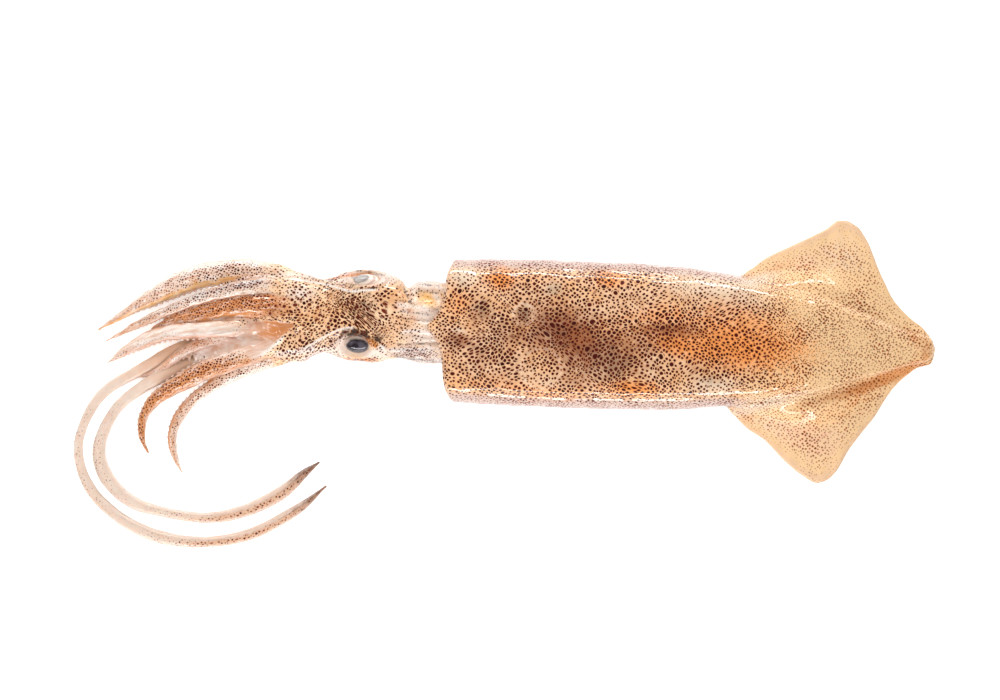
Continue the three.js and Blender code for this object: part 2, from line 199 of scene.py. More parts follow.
SKIN_RELIEF = 0.16  # height of the skin's finest unevenness
FIBRE_SHAPE = (0.16, 1, 1)  # how the fibres' noise is drawn out along the pattern
PATTERN_GAP = 53  # how far the pattern of one limb lies from that of the next
SEED_STEP = 31.7  # how far one pattern of spots lies from the next

# ---- how finely each surface is worked out ----
MANTLE_COLUMNS = 272
MOUTH_ROWS = 16
LIP_ROWS = 9
MANTLE_ROWS = 328
HEAD_COLUMNS = 120
HEAD_ROWS = 150
LIMB_COLUMNS = 40
LIMB_STEP = 0.5
CREASE_ROUNDS = 60  # how often the creases between the arms' roots are drawn together
SKIN_VOXEL = 0.36  # size of the cells in which the head and arms are grown together
EYE_COLUMNS = 72
EYE_ROWS = 48
WEB_COLUMNS = 28
WEB_ROWS = 70
SUCKER_SIDES = 9
SINES = 20  # how many sines a soft noise adds up
CHUNK = 8000  # how many points are held against a limb at a time, to save memory

# Little cups: (radius, height) of their profile, as shares of a sucker's size.
SUCKER_PROFILE = [(0.5, -0.7), (0.55, -0.1), (0.95, 0.2), (1, 0.5), (0.8, 0.62), (0.6, 0.5), (0.45, 0.2)]
ARM_SUCKERS = {"spread": 30, "spacing": 1.9, "start": 0.28}
CLUB_SUCKERS = {"oral": 240, "spacing": 1.25, "start": 0.74}
CLUB_SPREADS = (18, 48)  # turns of the club's inner and outer rows from where they face, in degrees
SUCKERS_END = 0.95  # share of a limb's length
SUCKER_SIZE = 0.2  # share of the limb's half-width
SUCKER_SIZES = (0.16, 0.55)  # smallest and largest

# ---- where the skin's colours lie ----
# Oval patches: x and y of the middle, half-length, half-width, turn in degrees, strength.
MANTLE_PATCHES = {
    "brown": [
        (-33, -0.6, 9, 6, -35, 0.95), (-20, -6, 9, 6.5, -10, 0.6), (-9, 0.5, 10, 4.6, 5, 0.4),
        (-54, -2, 16, 12, 0, 0.2), (-47.5, 5.1, 2.2, 1.8, 40, 0.5), (-3, 2.4, 8, 1.6, 0, 0.65),
        (9, -2.8, 7, 3.2, -20, 0.2), (4, -8.3, 6, 2.6, 10, 0.3), (-60.2, 5.4, 4, 3, 30, 0.45),
        (-66, -3.4, 3.5, 1.8, 0, 0.7), (-48, -1, 8, 3.5, -20, 0.35), (-31.5, -12.5, 7, 4, 0, 0.35),
        (-40, 2, 5, 5, 30, 0.35), (-58, -9, 9, 6, 0, 0.2),
    ],
    "warm": [
        (-54.7, 15.1, 3.4, 2.8, 0, 1), (14, -1.4, 12, 6.5, -8, 1), (-23, 16.4, 5, 2.2, 0, 0.8),
        (-15.2, -15, 9, 2.2, 0, 0.8), (-7.3, 5.9, 9, 3.4, 0, 0.45), (-66.7, 7.2, 3, 5, 0, 0.5),
        (-24.8, 1.6, 7, 3, 0, 0.45), (-35.7, -17.5, 8, 2, 0, 0.45), (28.3, -2, 11, 5.5, -5, 0.55),
        (-44, 15.8, 7, 2, 0, 0.35), (-3, -1.5, 9, 3.6, -10, 0.8), (18, 8, 12, 4, -15, 0.4),
        (38, -27, 11, 7, -20, 0.3), (29, -14, 6, 3, 20, 0.4), (36, 24, 9, 4, 30, 0.2),
        (52, -16, 10, 3, 30, 0.3), (28, 14, 7, 5, 0, 0.25), (-58, -15, 9, 3, 0, 0.3),
        (-46, -17, 7, 2, 0, 0.35),
    ],
    # The long thin pale patches by the shoulders, at (24, -18.3) and (22, 18.8), are painted highlights;
    # the rest are paler skin.
    "pale": [
        (-65.3, 15.2, 4, 3, 0, 1), (-39, 13.4, 3.4, 2.8, 0, 0.5), (-66, -0.3, 2, 1.3, 0, 0.9),
        (-39.4, -14.2, 6, 3, 0, 0.5), (4, 15.6, 11, 3, 0, 0.8), (17.4, 12, 9, 4.5, -10, 0.5),
        (8.2, -13.2, 8, 2.4, 0, 0.7), (22, 18.8, 6, 1.6, 20, 0.8), (24, -18.3, 11, 1.8, 18, 0.9),
        (60, 6, 9, 2, -20, 0.25),
    ],
    "grey": [
        (-59.4, 6.3, 2.6, 2.6, 0, 0.8), (-47.5, 5.1, 2.4, 1.8, 40, 1), (-39, 12.6, 2.8, 2.4, 0, 0.7),
        (-20.8, -7.6, 5, 4.6, 0, 0.65), (7.5, -11.4, 3.5, 1.8, 0, 0.6), (-66, 13.6, 3, 3, 0, 0.4),
        (-56, -5.5, 6, 3, 0, 0.3),
    ],
    "shade": [
        (55, -11.4, 10, 1.7, 22, 1), (64, -7.2, 6, 1.6, 25, 1), (71.5, -1, 2.5, 4, 0, 0.5),
        (40, -16.4, 8, 1.4, 20, 0.35), (27, 22, 6, 2, 28, 0.4), (68, 3.5, 4, 1.6, -35, 0.5),
    ],
}
# Size of the larger and of the finer spots along the mantle, by x.
MANTLE_SPOTS_ALONG = [
    (-80, 0.85), (-66, 0.92), (-50, 0.98), (-10, 0.95), (12, 0.92), (24, 0.7), (34, 0.5), (46, 0.38),
    (60, 0.32), (TAIL_X, 0.3),
]
MANTLE_FINE_ALONG = [(-80, 0), (-2, 0), (22, 0.7), (40, 1), (TAIL_X, 1)]
# Where the mantle's spots are drawn out: middle, direction, reach and amount.
MANTLE_STRETCHES = [
    ((-50, 8), (1, -0.9), 4, 0.5), ((-41, 0), (1, -0.9), 5, 0.66), ((-34, -7), (1, -0.9), 5, 0.66),
    ((-26, -13), (1, -0.7), 5, 0.6), ((10, 10), (1, 0.5), 8, 0.55), ((20, 5), (1, 0.4), 6, 0.4),
    ((-15, -16), (1, -0.3), 6, 0.5), ((-62, -6), (1, 0.5), 7, 0.4), ((2, -9), (1, 1), 5, 0.45),
    ((-60, 9), (1, 0.8), 5, 0.4), ((-8, 12), (1, 0.4), 6, 0.4), ((-50, -12), (1, 0.3), 6, 0.35),
]
# Rings that suckers have left: x and y of the middle, radius, strength.
SUCKER_MARKS = [(-47.5, 5.1, 3, 1), (-41.8, -10.4, 5.8, 0.9), (-59.4, 6.3, 2.8, 0.5), (-2, 16, 3.6, 0.6)]
# Smooth lines in plan that stand up or lie in: points, height, half-width.
MANTLE_LINES = [
    ([(10, -20.6), (23.1, -18.4), (31.8, -16), (41.1, -12.7), (49.2, -9.4), (57.9, -7), (65.2, -4.9),
      (71, -2.6)], 0.55, 1),
    ([(14, -22.4), (24, -20.2), (33, -17.8), (42, -14.6), (50, -11.5), (58, -9.2), (66, -6.6)], -0.5, 1.3),
    ([(18.7, -17.2), (27.5, -16), (36.2, -13.2), (43.4, -10.8)], 0.3, 0.6),
    ([(22, -16.6), (30, -14.6), (37, -12)], -0.3, 0.7),
    ([(12, 18.6), (18.6, 18.2), (25.9, 18), (33, 17), (41, 15)], -0.35, 1.4),
    ([(-66, 17.2), (-46, 18.9), (-36, 18.2), (-24, 18.4), (-12, 17.5), (4, 17.4)], -0.28, 0.8),
    ([(-64, -18), (-44, -18.6), (-20, -18.3), (-4, -17.6), (10, -16.4)], -0.28, 0.8),
    ([(-60, -16.4), (-40, -17), (-26, -16.6)], 0.12, 0.7),
    ([(28, -21.5), (37, -19.6), (46, -16)], 0.22, 0.6),
    ([(32, 20.4), (40, 18.6), (49, 14.6)], 0.22, 0.6),
    ([(26, 23.6), (35, 23), (44, 20.6)], 0.18, 0.6),
    ([(36, -26), (43, -24), (49, -20)], 0.14, 0.8),
    ([(66, 3.4), (70, 2.6), (73, 0.8)], -0.3, 0.7),
]
HEAD_PATCHES = {
    "warm": [
        (-118, 3.4, 7, 2.2, 0, 0.5), (-84, 6, 3, 3, 0, 0.15), (-121, -11.5, 5, 1.4, 20, 0.35),
        (-106, 3, 6, 4, 0, 0.25), (-83, 0.6, 3, 3.8, 0, 0.15), (-84.6, 9.6, 3, 2.2, 0, 0.3),
    ],
    "smoke_and_shade": [
        (-95, 5, 7, 4.4, -38, 0.5), (-97, -3.6, 2.8, 1.3, 8, 0.6), (-119.5, 3, 5, 1.2, 0, 0.25),
        (-89.2, -3.4, 1.3, 1.1, 0, 0.9), (-97.5, -2.4, 3, 1, 10, 0.4),
    ],
    "pale": [
        (-75.5, 3, 4, 3, 0, 0.9), (-76, -3, 6, 3, 0, 0.8), (-80, 5, 4, 1.6, 0, 1),
        (-112.5, 8.6, 4.5, 2.2, 0, 0.7), (-108, -9.4, 6, 1.4, 25, 0.8), (-99.6, -6.2, 2.4, 2, 0, 0.9),
        (-89.4, -8, 4, 1.6, 0, 0.8), (-100.6, 13.2, 3.4, 1.3, 0, 0.8), (-89, 13.6, 3.6, 1.6, 0, 0.7),
        (-116, 14, 8, 1.2, 0, 0.5), (-97, -8, 9, 1, 0, 0.6), (-76, 12.6, 4, 1.4, 0, 0.6),
        (-99.4, -3.6, 2.4, 1, 20, 0.5),
    ],
    "pink": [
        (-101, 14.2, 5, 0.8, 10, 0.8), (-90.4, 12.4, 2.6, 1, 25, 0.8), (-86, -6, 3, 1, 0, 0.3),
        (-144, -6.6, 3.5, 1.2, 20, 0.8), (-128, 0.5, 6, 2, 0, 0.5), (-102, -5.4, 1.6, 1, 40, 0.6),
        (-106, -11.4, 8, 0.8, 20, 0.8),
    ],
    "gold": [(-75.6, 8.2, 2.8, 1.5, -32, 0.9), (-79.4, 5.4, 2.4, 1.2, -30, 0.4), (-103, 3, 8, 5, 0, 0.3)],
    "beige": [(-136, -8.6, 8, 3.4, 18, 1), (-131, -7.6, 5, 2.6, 10, 0.8)],
    # The white patches are painted glints, one beside the lower eye and one on an arm at the front.
    "white": [(-88.2, -6.3, 0.9, 0.45, -35, 1.3), (-150, -12.6, 2.6, 0.4, 42, 0.8)],
    "grey": [
        (-93.5, 14.4, 8, 2, 0, 0.95), (-77, 13, 5, 2.2, 0, 0.85), (-79, -7.4, 7, 2, 0, 0.9),
        (-130, -4, 7, 3, 10, 0.35), (-107, 14.4, 8, 1, 15, 0.6), (-76, -1, 5, 2, 0, 0.3),
    ],
}
# Patches that change the head's spots: bare tan skin, spots close together, spots drawn out long, big
# spots, and fine dots.
HEAD_SPOT_PATCHES = {
    "tan": [(-83.4, 0.4, 3.4, 4.4, 0, 1), (-78.3, -1.6, 1.7, 3.2, 0, 0.7)],
    "speckled": [(-83.4, 0.4, 3.6, 4.6, 0, 1), (-78, -2, 1.8, 3.6, 0, 0.8), (-80, 9.5, 2.6, 2, 0, 0.8)],
    "drawn_out": [(-95.5, 3, 8.5, 5, -40, 1)],
    "big": [(-107, 4, 10, 8, 0, 1), (-87, 4, 5, 5, -30, 1), (-118, 4, 6, 4, 0, 0.9)],
    "dotted": [
        (-78, -7.4, 5, 1.7, 0, 1.45), (-101, -4, 3, 1.4, 20, 0.9), (-92, -4.6, 3, 1, -35, 1.1),
        (-110, -7, 6, 2.6, 25, 1), (-111, 13, 6, 0.7, 0, 0.9),
    ],
}
HEAD_SPOTS_ALONG = [
    (-131, 0.9), (-118, 0.95), (-111, 0.9), (-100, 1.1), (-89, 0.85), (-82, 0.5), (-76, 0.4),
    (-58, 0.3),
]
TENTACLE_SPOTS_ALONG = [
    (0, 0.1), (0.32, 0.05), (0.42, 0.5), (0.55, 0.55), (0.62, 0.3), (0.7, 0.7), (0.8, 1), (1, 0.8),
]
# Where the head's spots are drawn out: place in the pattern, direction, reach and amount.
HEAD_STRETCHES = [
    ((-99, 2), (1, -0.9), 5, 0.6), ((-95, -2), (1, -1), 6, 0.68), ((-91, 1), (1, -1.1), 5.5, 0.6),
    ((-86, 5), (1, -0.3), 3, 0.4),
]
# The bare webs between the arms' roots: y of their two sides by x, and how orange they are.
WEB_UPPER = [(-146, -10), (-136, -6.6), (-131, -4.4), (-127.4, 0.2), (-123.5, 0.3), (-113.8, -0.2)]
WEB_LOWER = [
    (-146, -14.6), (-136, -11), (-129, -8.6), (-126.5, -11.4), (-123.2, -9.6), (-118.5, -5),
    (-113.8, -1),
]
WEB_ORANGE = [(-132, 0.1), (-126, 0.4), (-121, 0.9), (-116, 1), (-113.8, 0.8)]
# Lines that stand up or lie in, as on the mantle.
HEAD_LINES = [
    ([(-120, 13), (-113, 12.6), (-104.3, 11.6), (-98.2, 9.9), (-93.2, 10.6), (-87, 11.4)], 0.75, 0.6),
    ([(-104, 12.9), (-98, 11.6), (-92, 12.2)], -0.5, 0.6),
    ([(-114, -9.9), (-108, -5.6), (-102.9, -2.5), (-99.3, -1.1), (-94.9, -0.3), (-91, -1.4)], 0.75, 0.5),
    ([(-107, -7.6), (-103, -4.8), (-99.4, -3)], -0.45, 0.6),
    ([(-90.5, -5.4), (-86, -6.8), (-80, -6.6), (-73, -6)], 0.5, 0.6),
    ([(-88, -7.6), (-82, -7.9), (-74, -7.6)], -0.3, 0.5),
    ([(-84.5, 11.6), (-82, 9.6), (-80.6, 7)], -0.5, 0.9),
    ([(-83, 5.2), (-77, 5.6), (-71, 6.6)], 0.6, 0.6),
    ([(-82, 2.4), (-76, 2), (-70, 2.2)], -0.6, 0.6),
    ([(-84, -0.6), (-77, -1), (-70, -1.4)], 0.6, 0.7),
    ([(-80, -4.2), (-74, -4.2), (-69, -4.4)], -0.6, 0.6),
    ([(-80.5, 11.8), (-76, 11.4), (-71, 11.6)], 0.4, 0.6),
    ([(-79.5, 9.4), (-75, 8.6), (-71, 8.8)], -0.4, 0.7),
    ([(-131, -14.4), (-126, -11.6), (-121, -7.7), (-115.6, -2.6), (-113, 0.1)], 0.45, 0.6),
    ([(-128, 1.6), (-121, 1.3), (-116, 0.8)], 0.35, 0.5),
    ([(-89.4, -5.6), (-87.3, -6.9)], 0.55, 0.6),
    ([(-112, -10.2), (-108, -8.2), (-104, -7.6)], 0.35, 0.6),
    ([(-101, 15.2), (-96, 14.2), (-90, 14.4), (-86.4, 13)], 0.4, 0.5),
    ([(-103, 13.4), (-98, 12.6), (-92.4, 12.4)], -0.4, 0.5),
]
# Smooth lines of colour in plan: points, strength, half-width.
HEAD_STROKES = {
    "smoke_and_shade": [
        ([(-101, -3), (-98.4, -2.2), (-96, -1.9), (-93.7, -2.5), (-91.3, -3)], 1, 1.1),
        ([(-99.4, -2.6), (-97.4, -2.9), (-95, -3.1), (-93, -3.3), (-91, -3.6)], 0.75, 0.7),
        ([(-90.8, -3.3), (-89.6, -3.7), (-88.4, -4.1)], 1.2, 0.85),
        ([(-100, 10.9), (-96, 10.8), (-92.6, 10.9), (-89, 11.3)], 1.3, 0.34),
        ([(-107, 12.2), (-102.4, 11.5), (-98.7, 11.6), (-96, 11.7), (-93.1, 12.3), (-92, 13.4),
          (-90.2, 14.8)], 0.7, 0.34),
        ([(-101, 15), (-97, 16), (-92, 15.6), (-87, 14.4)], 0.7, 0.4),
        # The strokes between x -87 and -71 are painted shade: a dark crease where the head's rear edge
        # meets the neck, an outline along the funnel's lower edge, and dark lines in the neck's folds.
        ([(-83.4, 12.4), (-82, 10), (-80.6, 7.2), (-79.6, 5.4)], 0.8, 0.45),
        ([(-87, -8), (-82.3, -8.9), (-78, -9.4), (-71, -9.8)], 1, 0.4),
        ([(-85, 4.6), (-80, 4.4), (-73, 3.6)], 0.58, 0.4),
        ([(-84, 2.4), (-79, 2.2), (-73, 1.4)], 0.48, 0.36),
        ([(-81, -2.6), (-77, -3), (-70, -3.2)], 0.54, 0.4),
        ([(-86, -5), (-79, -4.8), (-72, -4.4)], 0.64, 0.4),
        ([(-86, -6.6), (-79, -6.6), (-72, -6)], 0.58, 0.36),
        ([(-79.8, 10.8), (-76, 10.5), (-71, 10.2)], 0.64, 0.36),
        ([(-86, 7.8), (-82, 7.6), (-78, 6.6)], 0.58, 0.36),
        ([(-80.4, 12.8), (-76, 12.6), (-71, 12.4)], 0.54, 0.4),
        ([(-78, 8.6), (-75, 6.4), (-72, 5)], 0.42, 0.36),
        ([(-108, -11.2), (-104, -8.6), (-99, -10.3)], 0.3, 0.3),
    ],
    "warm": [
        ([(-95, -3), (-92.6, -4.2), (-89.4, -6.2)], 1.4, 0.75),
        ([(-75.2, 8), (-74.4, 7.5), (-73.6, 7)], 0.9, 0.35),
        ([(-112.6, 3.4), (-118, 3.8), (-126, 3.4)], 0.5, 1),
        ([(-82, 5.6), (-80, 4), (-79, 1)], 0.4, 1.2),
        ([(-112, -11.6), (-107, -9.9), (-98, -10.4), (-88, -9.8)], 1.3, 0.6),
        ([(-105, 12.8), (-101, 14), (-98, 14.5), (-95, 15), (-91, 15.4)], 1, 0.4),
        ([(-91.6, 12.8), (-89.6, 14.4)], 1, 0.6),
        ([(-131, -14.2), (-127, -12.2), (-123, -10.2)], 0.7, 0.6),
        ([(-111, 13.9), (-103, 13.4)], 0.5, 0.4),
    ],
    # The pale strokes are painted highlight lines along the brows, the neck's folds, the head's front left
    # and beside the lower eye.
    "pale": [
        ([(-114, -9.9), (-108, -5.6), (-102.9, -2.5), (-99.3, -1.1), (-94.9, -0.3)], 1.4, 0.36),
        ([(-120, 13), (-113, 12.5), (-104.3, 11.3), (-98.2, 9.8), (-93.2, 10.3), (-87, 10.9)], 1.4, 0.4),
        ([(-84, -2), (-78, -1), (-71, -1.4)], 0.9, 1.1),
        ([(-88, -7), (-80, -6.6), (-73, -6)], 1, 0.9),
        ([(-86, 6.6), (-80, 6), (-73, 5)], 1, 1.1),
        ([(-100, 14.2), (-96, 13.2), (-91, 13.8)], 0.7, 0.4),
        ([(-121, -10), (-113, -8.6), (-106, -6.6)], 1, 1.1),
        ([(-131, -14.6), (-126, -11.8), (-121, -7.9), (-115.6, -2.8)], 1.1, 0.6),
        ([(-88.9, -5.8), (-87.8, -6.5)], 1.6, 0.5),
    ],
    # White lines that are painted highlights along the brows' and neck's folds and the arms' edges; at the
    # brows the fold's skin is whitish too.
    "white": [
        ([(-113, -9.2), (-108, -5.5), (-102.9, -2.4), (-99.3, -1.1), (-94.9, -0.3)], 0.9, 0.26),
        ([(-119, 12.9), (-113, 12.4), (-104.3, 11.2), (-98.2, 9.8), (-93.2, 10.2), (-87, 10.8)], 1, 0.3),
        ([(-83, -1.2), (-78, -0.8), (-73, -1)], 0.5, 0.4),
        ([(-85, -6.7), (-79, -6.4), (-73, -5.8)], 0.6, 0.35),
        ([(-85, 6.4), (-80, 6), (-74, 5)], 0.6, 0.4),
        ([(-128, -12.9), (-124.4, -10.6), (-120, -7.2), (-116, -3.2)], 0.6, 0.3),
        ([(-131, 8.2), (-138, 6.3), (-146, 3.2)], 0.6, 0.25),
        ([(-127, -10.6), (-134, -13.9), (-142, -17.6), (-149, -22.4)], 0.5, 0.25),
    ],
    "grey": [
        ([(-86, -8.2), (-79, -8), (-73, -7.6)], 0.9, 0.6),
        ([(-82, 12.4), (-77, 12), (-71, 12)], 0.7, 0.5),
    ],
}
# How each limb looks. "oral" is where its suckers face, in degrees round the limb from its left over
# the top. Each band is a colour's field, the direction in degrees it faces, its half-spread in
# degrees, and its strength at the limb's root, middle and tip.
# The narrow pale bands along one edge of arm_right_2 and of arm_left_2 are painted highlight lines.
LIMB_SKINS = {
    "arm_right_1": {"oral": 290, "bands": [
        ("spots", 105, 50, (1.25, 1.1, 0.7)), ("warm", 110, 110, (1.1, 1.1, 0.9)),
        ("pale", 56, 9, (0, 0.5, 0.3)), ("smoke_and_shade", 78, 12, (0.1, 0.3, 0.4)),
        ("gold", 40, 26, (0.5, 0.6, 0.4)),
    ]},
    "arm_right_2": {"oral": 330, "bands": [
        ("spots", 105, 42, (1.4, 1.1, 0.3)), ("grey", 125, 44, (0.8, 0.8, 0.2)),
        ("pale", 100, 60, (0, 0.5, 0)), ("pale", 50, 11, (0.4, 1.1, 0.4)),
        ("warm", 178, 26, (0.8, 0.5, 0.6)), ("warm", 15, 30, (0.9, 0.8, 0.8)),
        ("warm", 90, 90, (0, 0, 0.7)),
    ]},
    "arm_right_3": {"oral": 350, "bands": [
        ("spots", 100, 36, (1.15, 1, 0.45)), ("grey", 168, 22, (0.7, 0.8, 0.4)),
        ("pale", 138, 30, (1, 0.9, 0.3)), ("gold", 42, 34, (1.1, 1.1, 0.8)),
        ("warm", 70, 9, (0.4, 0.4, 0.2)), ("pale", 8, 12, (0.2, 0.4, 0.6)),
        ("pink", 90, 50, (0.4, 0.4, 0.4)), ("warm", 160, 12, (0.1, 0.6, 0.5)),
        ("warm", 90, 90, (0, 0.1, 0.45)),
    ]},
    "arm_right_4": {"oral": 340, "bands": [
        ("spots", 100, 60, (0.3, 0.6, 0.3)), ("warm", 120, 60, (1, 0.8, 0.3)),
        ("pink", 60, 70, (0.4, 0.9, 0.7)), ("pale", 70, 10, (0.2, 0.8, 0.4)),
    ]},
    "arm_left_1": {"oral": 345, "shows": (0.12, 0.46), "bands": [
        ("spots", 70, 50, (0, 0.3, 0.8)), ("pale", 105, 46, (0.2, 0.85, 0.3)),
        ("grey", 74, 22, (0.5, 0.7, 0.4)), ("pink", 30, 30, (0.7, 0.8, 0.6)),
        ("warm", 2, 20, (0.5, 0.5, 0.5)), ("warm", 158, 20, (0.6, 0.7, 0.6)),
        ("pink", 90, 80, (0.2, 0.1, 0.5)),
    ]},
    "arm_left_2": {"oral": 200, "bands": [
        ("spots", 95, 56, (1.05, 1, 0.9)), ("warm", 90, 90, (1, 0.9, 0.8)),
        ("gold", 70, 30, (0.2, 0.5, 0.3)), ("pale", 38, 9, (0.3, 1.2, 0.6)),
        ("smoke_and_shade", 24, 12, (0, 0.5, 0.3)), ("pink", 165, 26, (0.5, 0.3, 0)),
        ("smoke_and_shade", 140, 22, (0, 0.3, 0.3)),
    ]},
    "arm_left_3": {"oral": 190, "bands": [
        ("spots", 72, 42, (1, 0.95, 0.7)), ("warm", 150, 34, (1, 1.1, 0.5)),
        ("pale", 50, 34, (0.9, 0.7, 0.2)), ("pink", 10, 26, (0.6, 0.7, 0.3)),
        ("warm", 90, 60, (0, 0.35, 0.5)), ("smoke_and_shade", 160, 14, (0, 0.6, 0.3)),
    ]},
    "arm_left_4": {"oral": 250, "bands": [
        ("spots", 80, 60, (0.3, 0.5, 0.4)), ("pink", 90, 90, (0.5, 0.6, 0.5)),
        ("warm", 90, 60, (0.3, 0.4, 0.3)),
    ]},
    "funnel": {"oral": 270, "shows": (0, 0.1), "bands": [
        ("spots", 60, 60, (0.6, 0.8, 0.8)), ("grey", 30, 50, (0.9, 0.9, 0.9)),
        ("pale", 100, 50, (0.8, 0.8, 0.8)),
    ]},
}
# Webs between neighbouring arms: the one more to the right, the other, and the share of each one's
# length that the web reaches. "shows", above, is the share of a limb's length over which its own
# colours take over from the head's.
WEBS = [
    ("arm_right_3", "arm_right_2", 0.52, 0.5),
    ("arm_right_2", "arm_right_1", 0.46, 0.5),
    ("arm_right_1", "arm_left_1", 0.56, 0.5),
    ("arm_left_1", "arm_left_2", 0.52, 0.5),
    ("arm_left_1", "arm_right_4", 0.62, 0.66),
    ("arm_right_4", "arm_left_2", 0.71, 0.61),
    ("arm_left_2", "arm_left_3", 0.36, 0.36),
]
TENTACLES = ("tentacle_right", "tentacle_left")

# ---- colours, on a screen's scale of 0 to 255 ----
BLACK_BROWN = (44, 0, 0)
DARK_BROWN = (82, 12, 0)
RED_BROWN = (104, 30, 6)
RUST = (166, 72, 22)
VEIN_RED = (166, 92, 76)
PUPIL_LINE = (58, 44, 38)
# The pupil's radius and softness are shares of the eyeball's, and so is the shift of its middle.
# The second pupil colour is the painted reflection mottled over the first.
EYE_LOOKS = {
    "eye_left": {
        "title": "Left eye", "pupil": 0.72, "soft": 0.05, "shift": (0, 0), "vein": 0.2,
        "pupil_colours": ((34, 27, 32), (104, 96, 106)),
        "ring_colour": (206, 190, 178), "outer_colour": (236, 216, 202),
    },
    "eye_right": {
        "title": "Right eye", "pupil": 0.47, "soft": 0.1, "shift": (-0.4, -0.06), "vein": 0.45,
        "pupil_colours": ((160, 154, 150), (198, 190, 184)),
        "ring_colour": (222, 208, 196), "outer_colour": (230, 214, 200),
    },
}

# ---- floor, lamps and camera ----
LIT = 1.12  # how much brighter than its own colour a matte board looks under the lamps
FLOOR_REACH = 6000.0
FLOOR_Z = -0.03
WORLD_LIGHT = 0.12
# Soft lamps: place, size, power in watts, the point that it faces, and whether the wet film mirrors it.
LAMPS = {
    "overhead": ((-50, 0, 620), (900, 700), 3.85, (-50, 0, 0), False),
    "far_strip": ((-40, 430, 150), (620, 56), 2.1, (-50, 0, 8), True),
    "near_strip": ((-60, -430, 150), (620, 56), 2.1, (-50, 0, 8), True),
    "head_strip": ((-470, 60, 210), (300, 20), 0.38, (-100, 0, 8), True),
    "arm_strip": ((-400, -80, 420), (120, 16), 0.13, (-130, -5, 6), True),
}
VIEW_CENTRE = (-53.9, -5.5, 8)
VIEW_TURN = 2.4
VIEW_WIDTH = 293.7
SENSOR = 36
LENS = 100


# ---- curves and fields ----
def mix(a, b, share):
    """In a straight line from a at share 0 to b at share 1."""
    return a + (b - a) * share


def smoothstep(value, low, high):
    """0 below low, 1 above high, and 3t^2 - 2t^3 in between."""
    t = np.clip((value - low) / (high - low), 0, 1)
    return t * t * (3 - 2 * t)


def bell(distance, spread):
    """1 at no distance, falling off as exp(-(distance / spread)^2)."""
    return np.exp(-((distance / spread) ** 2))


def unit(vectors):
    """Each vector divided by its own length."""
    return vectors / np.maximum(np.linalg.norm(vectors, axis=-1, keepdims=True), 1e-12)


def profile(knots, x):
    """Value at x of a smooth curve through (x, value) knots: cubic pieces whose slope at each knot is
    the harmonic mean of the slopes beside it, and 0 at a peak."""
    at, value = np.array(knots, float).T
    x = np.clip(x, at[0], at[-1])
    rise = np.diff(value) / np.diff(at)
    product = rise[:-1] * rise[1:]
    total = np.where(product > 0, rise[:-1] + rise[1:], 1)
    slope = np.concatenate([rise[:1], np.where(product > 0, 2 * product / total, 0), rise[-1:]])
    i = np.clip(np.searchsorted(at, x, side="right") - 1, 0, len(at) - 2)
    span = at[i + 1] - at[i]
    t = (x - at[i]) / span
    bulge = slope[i] * t * (1 - t) ** 2 - slope[i + 1] * t * t * (1 - t)
    return mix(value[i], value[i + 1], t * t * (3 - 2 * t)) + span * bulge


def superellipse(angle, power):
    """Cosine and sine, each to the power 2 / power with its sign kept."""
    return [np.sign(v) * np.abs(v) ** (2 / power) for v in (np.cos(angle), np.sin(angle))]


def waves(points, wavelength, seed):
    """Soft noise of about -1 to 1: sines of nearly one wavelength along random directions, summed."""
    rng = np.random.default_rng(seed)
    turns = unit(rng.normal(size=(SINES, points.shape[-1])))
    lengths = wavelength * rng.uniform(0.7, 1.5, (SINES, 1))
    phases = rng.uniform(0, TAU, SINES)
    return np.sin(points @ (turns * TAU / lengths).T + phases).sum(-1) * 0.6 * math.sqrt(2 / SINES)


def smooth_line(points, step):
    """Uniform Catmull-Rom curve through the points, resampled at equal steps of length. Columns after
    the third, such as a half-width, go along with it."""
    knots = np.array(points, float)
    knots = np.vstack([2 * knots[0] - knots[1], knots, 2 * knots[-1] - knots[-2]])
    before, start, end, after = knots[:-3, None], knots[1:-2, None], knots[2:-1, None], knots[3:, None]
    t = np.linspace(0, 1, 60, endpoint=False)[None, :, None]
    curve = (
        start
        + 0.5 * (end - before) * t
        + (before - 2.5 * start + 2 * end - 0.5 * after) * t**2
        + 0.5 * (3 * start - 3 * end + after - before) * t**3
    )
    curve = np.vstack([curve.reshape(-1, knots.shape[1]), knots[-2]])
    gaps = np.linalg.norm(np.diff(curve[:, :3], axis=0), axis=1)
    length = np.concatenate([[0], np.cumsum(gaps)])
    even = np.linspace(0, length[-1], max(int(round(length[-1] / step)), 2) + 1)
    return np.stack([np.interp(even, length, column) for column in curve.T], 1), even


def ovals(points, patches):
    """Strength from 0 to 1 of soft oval patches in plan: bells along and across each patch's own turned
    axes, joined as 1 - product(1 - strength)."""
    clear = np.ones(points.shape[:-1])
    for x, y, half_length, half_width, turn, strength in patches:
        cos, sin = math.cos(math.radians(turn)), math.sin(math.radians(turn))
        dx, dy = points[..., 0] - x, points[..., 1] - y
        off = np.hypot((dx * cos + dy * sin) / half_length, (dy * cos - dx * sin) / half_width)
        clear = clear * (1 - strength * bell(off, 1.15))
    return 1 - clear


def line_relief(points, lines):
    """Sum over smooth lines in plan of height times a bell of the distance to the line, faded out over
    both ends."""
    total = np.zeros(len(points))
    for knots, height, half_width in lines:
        line, length = smooth_line(knots, 0.8)
        low, high = line.min(0) - 3 * half_width, line.max(0) + 3 * half_width
        near = np.flatnonzero(((points[:, :2] > low) & (points[:, :2] < high)).all(1))
        gap = np.linalg.norm(points[near, None, :2] - line[None], axis=2)
        closest = gap.argmin(1)
        share = length[closest] / length[-1]
        fade = smoothstep(np.minimum(share, 1 - share), 0, 0.18)
        total[near] += height * fade * bell(gap.min(1), half_width)
    return total


